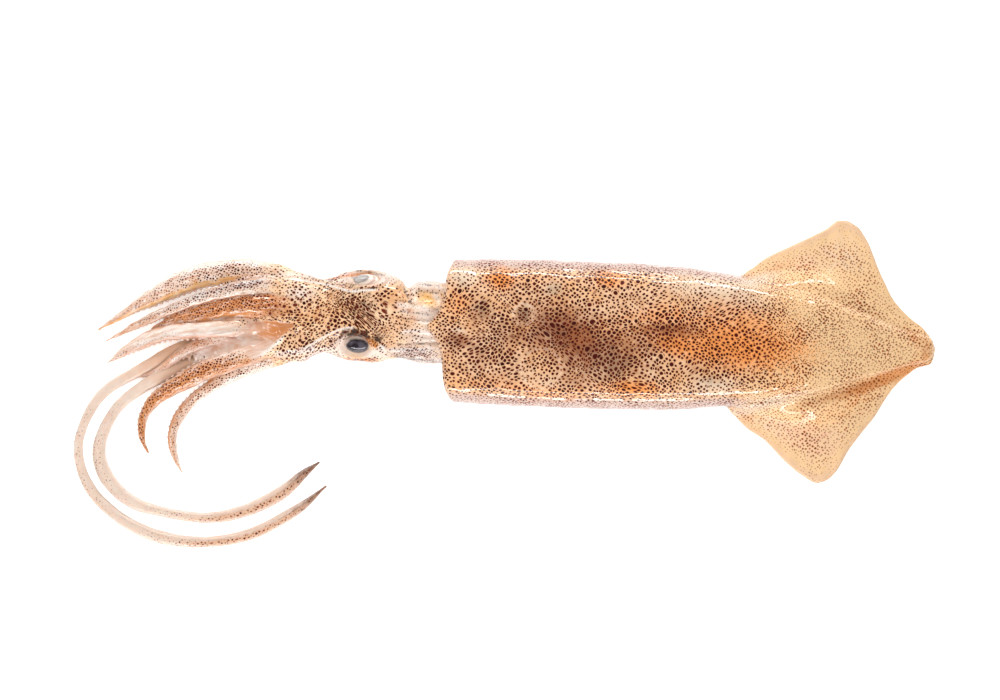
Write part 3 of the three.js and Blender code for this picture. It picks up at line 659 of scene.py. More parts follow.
def stretch(uv, centre, direction, reach, amount):
    """Draws a pattern's spots out along a direction round a centre and crowds them across it: within a
    bell of the reach, the coordinate along it is pressed together by the amount, and the one across is
    spread by half of that."""
    along = unit(np.array(direction, float))
    across = np.array([-along[1], along[0]])
    off = uv - np.array(centre, float)
    near = amount * bell(np.linalg.norm(off, axis=-1), reach)
    pull = (off @ along) * near
    push = 0.5 * (off @ across) * near
    return uv - pull[..., None] * along + push[..., None] * across


# ---- meshes ----
def tube_faces(rows, columns):
    """Quads of a grid whose columns close on themselves, and the triangles that draw its first and
    last rows together at two poles, whose vertices follow the grid's."""
    i, j = np.meshgrid(np.arange(rows - 1), np.arange(columns), indexing="ij")
    after = (j + 1) % columns
    quads = np.stack(
        [i * columns + j, i * columns + after, (i + 1) * columns + after, (i + 1) * columns + j], -1
    )
    ring = np.arange(columns)
    turned = (ring + 1) % columns
    last = (rows - 1) * columns
    start = np.stack([turned, ring, np.full(columns, rows * columns)], -1)
    end = np.stack([last + ring, last + turned, np.full(columns, rows * columns + 1)], -1)
    return quads.reshape(-1, 4), np.vstack([start, end])


def tube_points(grid):
    """The grid's points in a row, and after them the middles of its first and last rows."""
    return np.vstack([grid.reshape(-1, 3), grid[0].mean(0), grid[-1].mean(0)])


def tube_corners(uv):
    """Pattern coordinates of every corner of tube_faces, from a grid with one column more than the
    tube, so that the pattern's seam falls between its last and first columns."""
    quads = np.stack([uv[:-1, :-1], uv[:-1, 1:], uv[1:, 1:], uv[1:, :-1]], 2)
    middles = [np.broadcast_to(row.mean(0), row[:-1].shape) for row in (uv[0], uv[-1])]
    start = np.stack([uv[0, 1:], uv[0, :-1], middles[0]], 1)
    end = np.stack([uv[-1, :-1], uv[-1, 1:], middles[1]], 1)
    return np.vstack([quads.reshape(-1, 2), start.reshape(-1, 2), end.reshape(-1, 2)])


def grid_normals(grid):
    """Outward normals of a tube's grid: the step round it crossed with the step along it."""
    around = np.roll(grid, -1, 1) - np.roll(grid, 1, 1)
    return unit(np.cross(around, np.gradient(grid, axis=0)))


def surface_normals(points, quads):
    """Each vertex's normal: the sum over its faces of the cross product of their diagonals."""
    corners = points[quads]
    facing = np.cross(corners[:, 2] - corners[:, 0], corners[:, 3] - corners[:, 1])
    total = [
        np.bincount(quads.ravel(), np.repeat(facing[:, axis], 4), len(points)) for axis in range(3)
    ]
    return unit(np.stack(total, 1))


def write_mesh(name, points, quads, triangles=None):
    """A mesh in metres from points in millimetres."""
    triangles = np.zeros((0, 3), int) if triangles is None else triangles
    mesh = bpy.data.meshes.new(name)
    mesh.vertices.add(len(points))
    mesh.vertices.foreach_set("co", (points * MM).astype(np.float32).ravel())
    corners = np.concatenate([quads.ravel(), triangles.ravel()]).astype(np.int32)
    mesh.loops.add(len(corners))
    mesh.loops.foreach_set("vertex_index", corners)
    sizes = np.concatenate([np.full(len(quads), 4), np.full(len(triangles), 3)])
    mesh.polygons.add(len(sizes))
    mesh.polygons.foreach_set("loop_start", (np.cumsum(sizes) - sizes).astype(np.int32))
    mesh.polygons.foreach_set("use_smooth", np.ones(len(sizes), bool))
    mesh.update(calc_edges=True)
    return mesh


def add_piece(name, mesh, material, node, corners=None, fields=None):
    """Puts a mesh in the scene as a piece that stands for a CAD node."""
    if corners is not None:
        mesh.uv_layers.new(name="Skin").data.foreach_set("uv", corners.astype(np.float32).ravel())
    for label, values in (fields or {}).items():
        attribute = mesh.attributes.new(label, "FLOAT", "POINT")
        attribute.data.foreach_set("value", np.asarray(values, np.float32))
    mesh.materials.append(material)
    piece = bpy.data.objects.new(name, mesh)
    bpy.context.scene.collection.objects.link(piece)
    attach(piece, "root")
    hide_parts(node)


def inside_box(points, node):
    """Points held within a CAD node's own box."""
    low, high = (np.array(corner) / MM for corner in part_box(node))
    return np.clip(points, low, high)


# ---- nodes ----
def linear(red, green, blue):
    """The share of light that a surface gives back so that it looks, under the scene's lamps, like a
    screen colour of 0 to 255."""
    parts = [v / 255 for v in (red, green, blue)]
    return [(v / 12.92 if v <= 0.04045 else ((v + 0.055) / 1.055) ** 2.4) / LIT for v in parts] + [1]


def add_node(tree, kind, inputs=(), **settings):
    """Adds a node. inputs maps sockets to values, or to other nodes' outputs."""
    made = tree.nodes.new("ShaderNode" + kind)
    for label, value in settings.items():
        setattr(made, label, value)
    for socket, value in dict(inputs).items():
        if isinstance(value, bpy.types.NodeSocket):
            tree.links.new(value, made.inputs[socket])
        else:
            made.inputs[socket].default_value = value
    return made


def calc(tree, operation, *values):
    """A sum, product or other operation on numbers."""
    return add_node(tree, "Math", enumerate(values), operation=operation).outputs[0]


def vector_calc(tree, operation, first, second):
    """A sum, difference or product of two vectors, or, for SCALE, of a vector and a number."""
    sockets = {0: first, "Scale" if operation == "SCALE" else 1: second}
    return add_node(tree, "VectorMath", sockets, operation=operation).outputs[0]


def vector_length(tree, vector):
    """The length of a vector."""
    return add_node(tree, "VectorMath", {0: vector}, operation="LENGTH").outputs["Value"]


def remap(tree, value, low, high, to_low=0, to_high=1):
    """Smoothly from to_low at low to to_high at high."""
    sockets = {"Value": value, "From Min": low, "From Max": high, "To Min": to_low, "To Max": to_high}
    return add_node(tree, "MapRange", sockets, interpolation_type="SMOOTHSTEP").outputs[0]


def blend_colours(tree, share, first, second):
    """From the first colour at share 0 to the second at share 1."""
    return add_node(tree, "Mix", {0: share, 6: first, 7: second}, data_type="RGBA").outputs[2]


def noise(tree, vector, scale, detail=2.0, rough=0.5):
    """Noise of 0 to 1, with scale waves to a unit of the vector."""
    sockets = {"Vector": vector, "Scale": scale, "Detail": detail, "Roughness": rough}
    return add_node(tree, "TexNoise", sockets)


def new_group(name, inputs, outputs):
    """An empty node group with an input called Vector. inputs maps the numbers that it takes besides
    to their defaults, and outputs maps its outputs to their types."""
    tree = bpy.data.node_groups.new(name, "ShaderNodeTree")
    tree.interface.new_socket("Vector", in_out="INPUT", socket_type="NodeSocketVector")
    for label, default in inputs.items():
        socket = tree.interface.new_socket(label, in_out="INPUT", socket_type="NodeSocketFloat")
        socket.default_value = default
    for label, kind in outputs.items():
        tree.interface.new_socket(label, in_out="OUTPUT", socket_type="NodeSocket" + kind)
    return tree, tree.nodes.new("NodeGroupInput").outputs, tree.nodes.new("NodeGroupOutput").inputs


def use_group(tree, group, inputs):
    """Places a node group and gives back its outputs."""
    return add_node(tree, "Group", inputs, node_tree=group).outputs


def object_place(tree):
    """The place on the piece in the object's own coordinates, in metres."""
    return add_node(tree, "TexCoord").outputs["Object"]


def make_spots_group():
    """Pigment spots in a pattern's millimetres, one to a cell, of uneven size and soft at the edge. Each
    is a disc round its cell's point, cut off where the cell's border is nearer than half the gap, so
    that neighbours never touch. A cell whose own random number is above the share stays bare."""
    inputs = {"Spacing": 1.8, "Radius": 0.5, "Unevenness": 0.4, "Softness": 0.1}
    inputs.update({"Gap": 0.2, "Share": 1, "Seed": 0})
    tree, source, sink = new_group("Pigment spots", inputs, {"Mask": "Float", "Tint": "Float"})
    cells = calc(tree, "DIVIDE", 1, source["Spacing"])
    aside = calc(tree, "MULTIPLY", source["Seed"], 1.7)
    shift = add_node(tree, "CombineXYZ", {0: source["Seed"], 1: aside}).outputs[0]
    moved = vector_calc(tree, "ADD", source["Vector"], shift)
    turned = add_node(tree, "VectorRotate", {"Vector": moved, "Angle": 0.6}, rotation_type="Z_AXIS")
    sockets = {"Vector": turned.outputs[0], "Scale": cells, "Randomness": 0.66}
    voronoi = add_node(tree, "TexVoronoi", sockets, voronoi_dimensions="2D")
    border = add_node(tree, "TexVoronoi", sockets, voronoi_dimensions="2D", feature="DISTANCE_TO_EDGE")
    away = calc(tree, "MULTIPLY", voronoi.outputs["Distance"], source["Spacing"])
    inward = calc(tree, "MULTIPLY", border.outputs["Distance"], source["Spacing"])
    split = add_node(tree, "SeparateColor", {"Color": voronoi.outputs["Color"]})
    lot = calc(tree, "MULTIPLY_ADD", split.outputs[0], 2, -1)
    size = calc(tree, "MULTIPLY_ADD", lot, source["Unevenness"], 1)
    radius = calc(tree, "MULTIPLY", size, source["Radius"])
    outer = calc(tree, "ADD", radius, source["Softness"])
    inner = calc(tree, "SUBTRACT", radius, source["Softness"])
    half_gap = calc(tree, "MULTIPLY", source["Gap"], 0.5)
    clear = calc(tree, "SUBTRACT", inward, half_gap)
    apart = remap(tree, clear, calc(tree, "MULTIPLY", source["Softness"], -1), source["Softness"])
    spot = calc(tree, "MULTIPLY", remap(tree, away, outer, inner), apart)
    present = remap(tree, split.outputs[1], calc(tree, "ADD", source["Share"], 0.04), source["Share"])
    there = remap(tree, radius, 0.05, 0.12)
    tree.links.new(calc(tree, "MULTIPLY", calc(tree, "MULTIPLY", spot, present), there), sink["Mask"])
    tree.links.new(split.outputs[2], sink["Tint"])
    return tree


def make_warp_group():
    """Moves a pattern's coordinates by two noises, so that its spots stretch in drifts and their edges
    are uneven."""
    inputs = {"Drift": 1.2, "Drift size": 6, "Fray": 0.25, "Fray size": 0.9}
    tree, source, sink = new_group("Skin warp", inputs, {"Vector": "Vector"})
    vector = source["Vector"]
    for amount, size in (("Drift", "Drift size"), ("Fray", "Fray size")):
        swirl = noise(tree, source["Vector"], calc(tree, "DIVIDE", 1, source[size]), 1.5)
        centred = vector_calc(tree, "SUBTRACT", swirl.outputs["Color"], (0.5, 0.5, 0.5))
        vector = vector_calc(tree, "ADD", vector, vector_calc(tree, "SCALE", centred, source[amount]))
    tree.links.new(vector, sink["Vector"])
    return tree


def make_ragged_group():
    """A soft patch with a broken edge: noise is added to its strength before it is sharpened."""
    inputs = {"Strength": 0, "Grain": 1.6, "Amount": 0.9}
    tree, source, sink = new_group("Ragged patch", inputs, {"Strength": "Float"})
    grain = noise(tree, source["Vector"], calc(tree, "DIVIDE", 1, source["Grain"]), 3, 0.6).outputs[0]
    push = calc(tree, "MULTIPLY", calc(tree, "SUBTRACT", grain, 0.5), source["Amount"])
    inside = remap(tree, source["Strength"], 0, 0.25)
    value = calc(tree, "MULTIPLY_ADD", push, inside, source["Strength"])
    tree.links.new(remap(tree, value, 0.04, 0.96), sink["Strength"])
    return tree


def make_surface_group():
    """Height and roughness of wet skin: a slow swell, fine crinkles and a film of water that lies
    unevenly."""
    outputs = {"Height": "Float", "Roughness": "Float", "Wetness": "Float"}
    tree, source, sink = new_group("Wet skin surface", {"Swell": 0.5, "Crinkle": 0.5}, outputs)
    swell = noise(tree, source["Vector"], 0.3, 1).outputs[0]
    crinkle = noise(tree, source["Vector"], 1.9, 3, 0.55).outputs[0]
    low = calc(tree, "MULTIPLY", swell, source["Swell"])
    tree.links.new(calc(tree, "MULTIPLY_ADD", crinkle, source["Crinkle"], low), sink["Height"])
    film = noise(tree, source["Vector"], 0.55, 2).outputs[0]
    tree.links.new(remap(tree, film, 0.3, 0.7, 0.3, 0.46), sink["Roughness"])
    tree.links.new(remap(tree, film, 0.35, 0.65, 1, 0.55), sink["Wetness"])
    return tree


SPOTS = make_spots_group()
WARP = make_warp_group()
RAGGED = make_ragged_group()
SURFACE = make_surface_group()


def field(tree, label):
    """One of a piece's own fields, by its name."""
    return add_node(tree, "Attribute", attribute_name=label, attribute_type="GEOMETRY").outputs["Fac"]


def new_material(name):
    """A material with only an output and a Principled shader, and its tree."""
    material = bpy.data.materials.new(name)
    material.use_nodes = True
    tree = material.node_tree
    tree.nodes.clear()
    output = tree.nodes.new("ShaderNodeOutputMaterial")
    shader = tree.nodes.new("ShaderNodeBsdfPrincipled")
    tree.links.new(shader.outputs[0], output.inputs[0])
    return material, tree, shader


def set_flesh(shader, depth, share, coat_roughness):
    """Soft light inside the flesh, redder the deeper, and a clear wet film over it."""
    shader.subsurface_method = "RANDOM_WALK"
    shader.inputs["Subsurface Weight"].default_value = share
    shader.inputs["Subsurface Radius"].default_value = (1, 0.55, 0.35)
    shader.inputs["Subsurface Scale"].default_value = depth * MM
    shader.inputs["IOR"].default_value = 1.38
    shader.inputs["Specular IOR Level"].default_value = 0.2
    shader.inputs["Coat Roughness"].default_value = coat_roughness
    shader.inputs["Coat IOR"].default_value = 1.42


def make_skin(name, base, tones, layers, drift, depth, share, swell=0.5, crinkle=0.9, streaks=()):
    """Spotted skin. base is three colours of the flesh between the spots: usual, mottled, and in drifts.
    streaks is (field, light colour, dark colour, strength) of fibres that run along the pattern. Each
    tone is (field, colour, strength) of a patch over it. Each layer of spots is (spacing, radius,
    unevenness, softness, gap, share, dark, light, opacity, size field, pattern, halo), and its radius is
    multiplied by the size field. Layers of one pattern and spacing share their middles. A halo is a bare
    margin round the layer's spots, clear of the layers before it. The field called dull takes the wet
    film off."""
    material, tree, shader = new_material(name)
    uv = add_node(tree, "UVMap", uv_map="Skin").outputs[0]
    spread = vector_calc(tree, "SCALE", object_place(tree), 1 / MM)
    warped = use_group(tree, WARP, {"Vector": uv, "Drift": drift})["Vector"]

    mottle = noise(tree, spread, 0.32, 4, 0.6).outputs[0]
    patches = noise(tree, spread, 0.11, 2).outputs[0]
    colour = blend_colours(tree, remap(tree, mottle, 0.35, 0.7), linear(*base[0]), linear(*base[1]))
    colour = blend_colours(tree, remap(tree, patches, 0.42, 0.7, 0, 0.5), colour, linear(*base[2]))
    if streaks:
        label, light, dark, strength = streaks
        drawn = vector_calc(tree, "MULTIPLY", warped, FIBRE_SHAPE)
        fibre = noise(tree, drawn, 1.15, 3, 0.6).outputs[0]
        power = calc(tree, "MULTIPLY", field(tree, label), strength)
        fibres = [(remap(tree, fibre, 0.5, 0.68), light), (remap(tree, fibre, 0.5, 0.34), dark)]
    for label, tone, strength in tones:
        patch = use_group(tree, RAGGED, {"Strength": field(tree, label), "Vector": spread})["Strength"]
        colour = blend_colours(tree, calc(tree, "MULTIPLY", patch, strength), colour, linear(*tone))
    for side, tone in fibres if streaks else ():
        colour = blend_colours(tree, calc(tree, "MULTIPLY", side, power), colour, linear(*tone))
    bare = colour
    for layer in layers:
        spacing, radius, unevenness, softness, gap, present, *looks = layer
        dark, light, opacity, label, pattern, halo = looks
        sockets = {
            "Vector": warped,
            "Spacing": spacing,
            "Radius": calc(tree, "MULTIPLY", field(tree, label), radius),
            "Unevenness": unevenness,
            "Softness": softness,
            "Gap": gap,
            "Share": present,
            "Seed": SEED_STEP * pattern,
        }
        if halo:
            wider = {**sockets, "Radius": calc(tree, "MULTIPLY", field(tree, label), radius + halo)}
            colour = blend_colours(tree, use_group(tree, SPOTS, wider)["Mask"], colour, bare)
        spots = use_group(tree, SPOTS, sockets)
        core = blend_colours(tree, spots["Tint"], linear(*dark), linear(*light))
        pigment = blend_colours(tree, spots["Mask"], linear(*RUST), core)
        colour = blend_colours(tree, calc(tree, "MULTIPLY", spots["Mask"], opacity), colour, pigment)
    tree.links.new(colour, shader.inputs["Base Color"])

    surface = use_group(tree, SURFACE, {"Vector": spread, "Swell": swell, "Crinkle": crinkle})
    tree.links.new(surface["Roughness"], shader.inputs["Roughness"])
    wet = calc(tree, "MULTIPLY", surface["Wetness"], calc(tree, "SUBTRACT", 1, field(tree, "dull")))
    tree.links.new(wet, shader.inputs["Coat Weight"])
    relief = {"Strength": 0.6, "Distance": SKIN_RELIEF * MM, "Height": surface["Height"]}
    bump = add_node(tree, "Bump", relief)
    tree.links.new(bump.outputs[0], shader.inputs["Normal"])
    set_flesh(shader, depth, share, 0.06)
    return material


# ---- mantle and fins ----
def rim_x(y, on_back):
    """x of the mantle's rim at a place y across it: a flat bow that rounds back at the sides, with a
    point over the back and a notch under the belly."""
    sides = RIM_X + RIM_SIDE_BACK * (y / profile(MANTLE_HALF_WIDTH, RIM_X)) ** 8
    notched = sides + BELLY_NOTCH * bell(y, BELLY_NOTCH_SPREAD)
    pointed = sides - LOBE_LENGTH * np.exp(-np.abs(y - LOBE_Y) / LOBE_SPREAD)
    return np.where(on_back, pointed, notched)


def mantle_point(x, angle, inset=0.0):
    """Point of the mantle's section at x: a superellipse round its waist, whose points next to angle 0
    and pi slide out along the fins' two faces. inset draws the section in. Also how far out on a fin
    the point lies, from 0 at its root to 1 at its edge."""
    x, angle, inset = np.broadcast_arrays(x, angle % TAU, inset)
    on_back = angle <= math.pi
    right = np.cos(angle) >= 0
    from_fin = np.minimum(angle % math.pi, math.pi - angle % math.pi)
    share = np.minimum(from_fin / FIN_ZONE, 1)
    past_fin = np.maximum(from_fin - FIN_ZONE, 0) / (math.pi / 2 - FIN_ZONE)
    body_angle = share * ROOT_ANGLE + past_fin * (math.pi / 2 - ROOT_ANGLE)

    half_width = profile(MANTLE_HALF_WIDTH, x) - inset
    top = profile(MANTLE_TOP, x)
    waist = MANTLE_WAIST * top
    rise = np.where(on_back, top - waist, -waist - BELLY_PRESS) * (1 - 2 * inset / top)

    def body_at(section_angle):
        across, up = superellipse(section_angle, MANTLE_POWER)
        return half_width * across, np.maximum(waist + rise * up, inset)

    body_y, body_z = body_at(body_angle)
    root_y, root_z = body_at(np.full_like(body_angle, ROOT_ANGLE))
    reach = np.where(right, profile(FIN_REACH["right"], x), profile(FIN_REACH["left"], x))
    level = np.where(right, profile(FIN_LEVEL["right"], x), profile(FIN_LEVEL["left"], x))
    long_wave, short_wave = RUFFLE_WAVES
    swing = np.sin(x * TAU / long_wave + np.where(right, 0, 2)) * np.sin(x * TAU / short_wave + 1)
    ruffle = RUFFLE_HEIGHT * (1 + swing)
    ruffle = ruffle * smoothstep(x, 20, 32) * (1 - smoothstep(x, 60, 72))
    finned = np.where(inset > 0, 0, smoothstep(reach - half_width, 0, 2.5))
    rounded = np.sqrt(1 - (1 - np.minimum(share * 9, 1)) ** 2)
    half = mix(FIN_EDGE, FIN_ROOT, share) * 0.5 * rounded
    middle = mix(level + ruffle * (1 - share) ** 2, waist, share**1.4)
    plate_z = np.maximum(middle + np.where(on_back, half, -half), FIN_CLEAR)
    fin_z = mix(plate_z, root_z, smoothstep(share, 0.55, 1))
    on_fin = np.where(share < 1, finned, 0)
    y = profile(MANTLE_BEND, x) + np.where(right, 1, -1) * mix(body_y, mix(reach, root_y, share), on_fin)
    return np.stack([x, y, mix(body_z, fin_z, on_fin)], -1), on_fin * (1 - share)


def mantle_grid():
    """Rows run from the end of the mouth out over the lip, a half ellipse, and back over the skin to
    the tail, which rounds over as a quarter ellipse. Columns start under the belly."""
    angle = -math.pi / 2 + TAU * np.arange(MANTLE_COLUMNS) / MANTLE_COLUMNS
    at_rim = mantle_point(RIM_X, angle)[0]
    rim = rim_x(at_rim[:, 1], angle % TAU <= math.pi)
    inner = np.linspace(1, 0, MOUTH_ROWS)[:, None]
    turn = np.linspace(0, math.pi, LIP_ROWS + 2)[1:-1, None]
    outer = 1 - (1 - np.linspace(0, 1, MANTLE_ROWS)[:, None]) ** 1.2
    x = np.vstack([
        mix(rim + LIP, CAVITY_END_X, inner),
        rim + LIP * (1 - np.sin(turn)),
        mix(rim + LIP, TAIL_X, outer),
    ])
    over_lip = WALL * (1 + np.cos(turn[:, 0])) / 2
    inset = np.concatenate([np.full(MOUTH_ROWS, WALL), over_lip, np.zeros(MANTLE_ROWS)])
    grid, on_fin = mantle_point(x, angle[None], inset[:, None])
    past = np.clip((x - (TAIL_X - TAIL_ROUNDING)) / TAIL_ROUNDING, 0, 1)
    closing = np.sqrt(1 - 0.98 * past**2)
    grid[..., 1] *= closing
    grid[..., 2] = mix(TAIL_LEVEL, grid[..., 2], closing)
    along = np.where(inset[:, None] > 0, 2 * rim - x - inset[:, None], x)
    inside = np.broadcast_to(smoothstep(inset / WALL, 0.35, 0.9)[:, None], on_fin.shape)
    return grid, angle, on_fin, along, inside


def mantle_relief(points, on_fin, on_back):
    """Height over the smooth skin: lines, sucker marks, both edges of the pen, and soft unevenness."""
    x = points[:, 0]
    y = points[:, 1]
    height = np.where(on_back, line_relief(points, MANTLE_LINES), 0)
    for cx, cy, radius, strength in SUCKER_MARKS:
        off = np.abs(np.hypot(x - cx, y - cy) - radius)
        height += np.where(on_back, SUCKER_MARK_HEIGHT * strength * bell(off, 0.35), 0)
    height += 0.1 * waves(points, 17, seed=3) * (1 - on_fin)
    height += 0.04 * waves(points, 4.5, seed=4) + 0.02 * waves(points, 2, seed=5)
    pen = PEN_HEIGHT * bell(np.abs(y - PEN_Y) - PEN_HALF_WIDTH, 0.5)
    pen = pen * smoothstep(x, -30, 0) * (1 - smoothstep(x, 40, 60))
    return height + np.where(on_back, pen, 0)


def mantle_fields(points, on_fin, on_back, inside):
    """Strength of each colour, and the size of the spots, over the mantle: patches in plan, and steps
    and bells of the place along it, of the share of its half-width and of its height."""
    x, y, z = points.T
    half_width = profile(MANTLE_HALF_WIDTH, x)
    off = np.abs(y - profile(MANTLE_BEND, x)) / half_width
    level = z / profile(MANTLE_TOP, x)
    upper = smoothstep(level, 0.3, 0.66)
    back = np.where(on_back, 1, 0)
    tube = back * upper * (1 - on_fin)
    fields = {label: ovals(points, patches) * back for label, patches in MANTLE_PATCHES.items()}
    uneven = 1 + 0.2 * waves(points, 9, seed=8)
    front = 1 - smoothstep(x, 8, 26)
    side = smoothstep(off, 0.78, 0.94) * front
    fields["side"] = np.where(on_back, side, front) * (1 - on_fin)
    # Painted shade: a darker band where the mantle's side stands upright at its widest, which reads as its
    # outline.
    widest = smoothstep(off, 0.955, 1) * (1 - smoothstep(x, 10, 30)) * (1 - on_fin)
    fields["flank_shade"] = widest * bell(level - 0.52, 0.16)
    fields["tail"] = smoothstep(x, 4, 34)
    fields["belly"] = smoothstep(level, 0.46, 0.2) * (1 - on_fin)
    crowded = (1 - 0.4 * smoothstep(off, 0.74, 0.97)) * (1 - 0.4 * fields["pale"]) * uneven
    crowded = crowded * (1 + 0.2 * fields["brown"] + 0.12 * fields["grey"])
    fields["spots"] = profile(MANTLE_SPOTS_ALONG, x) * crowded * (0.25 + 0.75 * tube) * (1 - inside)
    coloured = 0.5 + 0.5 * np.maximum(fields["brown"], fields["warm"])
    fields["opened"] = coloured * smoothstep(fields["spots"], 0.2, 0.8)
    for cx, cy, radius, strength in SUCKER_MARKS:
        ring = bell(np.hypot(x - cx, y - cy) - radius, 0.5) * strength * back
        fields["pale"] = np.maximum(fields["pale"], 0.8 * ring)
        fields["spots"] *= 1 - 0.7 * ring
    near_edge = 1 - 0.6 * smoothstep(on_fin, 0.55, 0.97)
    rear = profile(MANTLE_FINE_ALONG, x) * (1 + 0.16 * waves(points, 14, seed=9))
    fields["fine"] = np.maximum(rear, smoothstep(off, 0.83, 0.93)) * near_edge * uneven * (1 - inside)
    fields["fine"] *= 1 - 0.14 * on_fin * smoothstep(y, 0, 8)
    lip = bell(x - rim_x(y, on_back) - 0.5, 0.7)
    fields["edge"] = np.maximum(smoothstep(on_fin, 0.82, 0.99), 0.8 * lip * (1 - inside))
    # Painted shade: a thin dark outline along the rim's lip, in the same field.
    outline = bell(x - rim_x(y, on_back) - 0.15, 0.3) * (1 - inside)
    fields["flank_shade"] = np.maximum(fields["flank_shade"], 0.8 * outline)
    fields["inside"] = inside
    fields["dull"] = 0.85 * smoothstep(on_fin, 0.15, 0.4)
    return fields


def make_mantle(material):
    """The mantle and fins: the grid moved out along its normals by the relief. The spots' pattern is
    measured in millimetres along the mantle and round it from the middle of its back."""
    grid, angle, on_fin, along, inside = mantle_grid()
    on_back = np.broadcast_to(angle % TAU <= math.pi, on_fin.shape)
    flat = grid.reshape(-1, 3)
    relief = mantle_relief(flat, on_fin.ravel(), on_back.ravel()).reshape(on_fin.shape)
    grid = grid + grid_normals(grid) * (relief * (1 - inside) * (1 - 0.5 * on_fin))[..., None]
    grid[..., 2] = np.maximum(grid[..., 2], 0)
    grid = inside_box(grid, "mantle")

    closed = np.concatenate([grid, grid[:, :1]], 1)
    steps = np.linalg.norm(np.diff(closed, axis=1), axis=2)
    across = np.concatenate([np.zeros((len(grid), 1)), np.cumsum(steps, 1)], 1)
    across = across[:, MANTLE_COLUMNS // 2, None] - across
    uv = np.stack([np.concatenate([along, along[:, :1]], 1), across], -1)
    for centre, direction, reach, amount in MANTLE_STRETCHES:
        uv = stretch(uv, centre, direction, reach, amount)

    points = tube_points(grid)
    quads, triangles = tube_faces(*grid.shape[:2])
    ends = [np.append(a.ravel(), [a[0, 0], a[-1, 0]]) for a in (on_fin, on_back, inside)]
    fields = mantle_fields(points, *ends)
    mesh = write_mesh("mantle_skin", points, quads, triangles)
    add_piece("mantle_skin", mesh, material, "mantle", tube_corners(uv), fields)


# ---- head and limbs ----
def head_section(x):
    """The head's two sides, top and underside at x, and the level of its waist."""
    right, left, top, under = (profile(HEAD[side], x) for side in ("right", "left", "top", "under"))
    return right, left, top, under, mix(under, top, HEAD_WAIST)


def head_grid():
    """A row of superellipses between the head's two sides, its top and its underside."""
    x = np.linspace(HEAD["top"][0][0], HEAD["top"][-1][0], HEAD_ROWS)[:, None]
    angle = (TAU * np.arange(HEAD_COLUMNS) / HEAD_COLUMNS)[None]
    right, left, top, under, waist = head_section(x)
    across, up = superellipse(angle, HEAD_POWER)
    z = waist + np.where(up >= 0, top - waist, waist - under) * up
    return np.stack(np.broadcast_arrays(x, mix(left, right, (1 + across) / 2), z), -1)


def route_frames(route):
    """A limb's middle line at even steps, with its length so far, half-width and three directions:
    ahead along the line, sideways over the level, and upwards."""
    line, length = smooth_line(route, LIMB_STEP)
    middle = line[:, :3]
    ahead = unit(np.gradient(middle, axis=0))
    side = unit(np.cross((0, 0, 1), ahead))
    return {
        "middle": middle,
        "ahead": ahead,
        "side": side,
        "up": np.cross(ahead, side),
        "width": np.maximum(line[:, 3], LIMB_TIP),
        "length": length,
    }


def limb_grid(frames, shape):
    """A tube of upright ellipses along a limb's line, times the shape's factor, flattened where it
    rests and rounded over at the tip. Columns start under the limb."""
    angle = -math.pi / 2 + TAU * np.arange(LIMB_COLUMNS) / LIMB_COLUMNS
    factor = shape(angle[None], frames["length"][:, None])
    left = frames["length"][-1] - frames["length"]
    rounding = np.sqrt(1 - (1 - np.minimum(left / TIP_ROUNDING, 1)) ** 2 * 0.9)
    out = (frames["width"] * rounding)[:, None] * factor
    grid = (
        frames["middle"][:, None]
        + frames["side"][:, None] * (out * np.cos(angle))[..., None]
        + frames["up"][:, None] * (out * LIMB_FLATNESS * np.sin(angle))[..., None]
    )
    grid[..., 2] = np.maximum(grid[..., 2], 0)
    return grid


def web_grid(first, second, reach_first, reach_second):
    """A thin sheet between two limbs' middle lines, from their roots on. A section is a flat ellipse
    from the first line to the second, arched upwards as a parabola and near its end downwards. The
    sheet is thicker towards its free edge, which is drawn in between the limbs as a parabola."""
    angle = (TAU * np.arange(WEB_COLUMNS) / WEB_COLUMNS)[None]
    across = (1 + np.cos(angle)) / 2
    share = np.linspace(0, 1, WEB_ROWS)[:, None]
    drawn = share * (1 - WEB_DRAWN_IN * across * (1 - across) * share)

    def place(frames, reach):
        at = drawn * reach * frames["length"][-1]
        return np.stack([np.interp(at, frames["length"], column) for column in frames["middle"].T], -1)

    grid = mix(place(first, reach_first), place(second, reach_second), across[..., None])
    rounding = np.sqrt(1 - (1 - np.minimum((1 - share) / 0.03, 1)) ** 2 * 0.9)
    arch = 4 * across * (1 - across) * mix(*WEB_ARCH, smoothstep(share, 0.55, 1))
    grid[..., 2] += mix(*WEB_THICKNESS, smoothstep(share, 0.5, 1)) * rounding * np.sin(angle) + arch
    return grid


def turn_between(angle, other):
    """Unsigned turn from one angle to another, from 0 to pi."""
    return np.abs((angle - other + math.pi) % TAU - math.pi)


def arm_shape(oral):
    """An arm's section as a factor of its half-width: round on its back, flatter on the side of the
    suckers, and with a thin web along each edge between them that scallops at each sucker."""
    facing = math.radians(oral)

    def factor(angle, length):
        off = turn_between(angle, facing)
        web = bell(off - math.radians(70), math.radians(14)) * smoothstep(length, 14, 26)
        scallop = 0.6 + 0.3 * np.sin(length * TAU / 3.4 + 1.6 * np.sin(length * 0.7))
        scallop = scallop + 0.3 * np.sin(length * 0.8 + oral)
        uneven = 0.03 * np.sin(length * TAU / 11 + angle * 2)
        uneven = uneven + 0.02 * np.sin(length * TAU / 4.7 + angle * 3)
        return 0.93 - 0.06 * smoothstep(off, 1.2, 0.5) + 0.13 * web * scallop + uneven

    return factor


def neighbours(quads, count):
    """Both ends of every edge of the quads, and how many neighbours each of the vertices has."""
    pairs = np.concatenate([quads[:, [k, (k + 1) % 4]] for k in range(4)])
    a, b = np.unique(np.sort(pairs, 1), axis=0).T
    return a, b, np.bincount(np.concatenate([a, b]), minlength=count)[:, None]


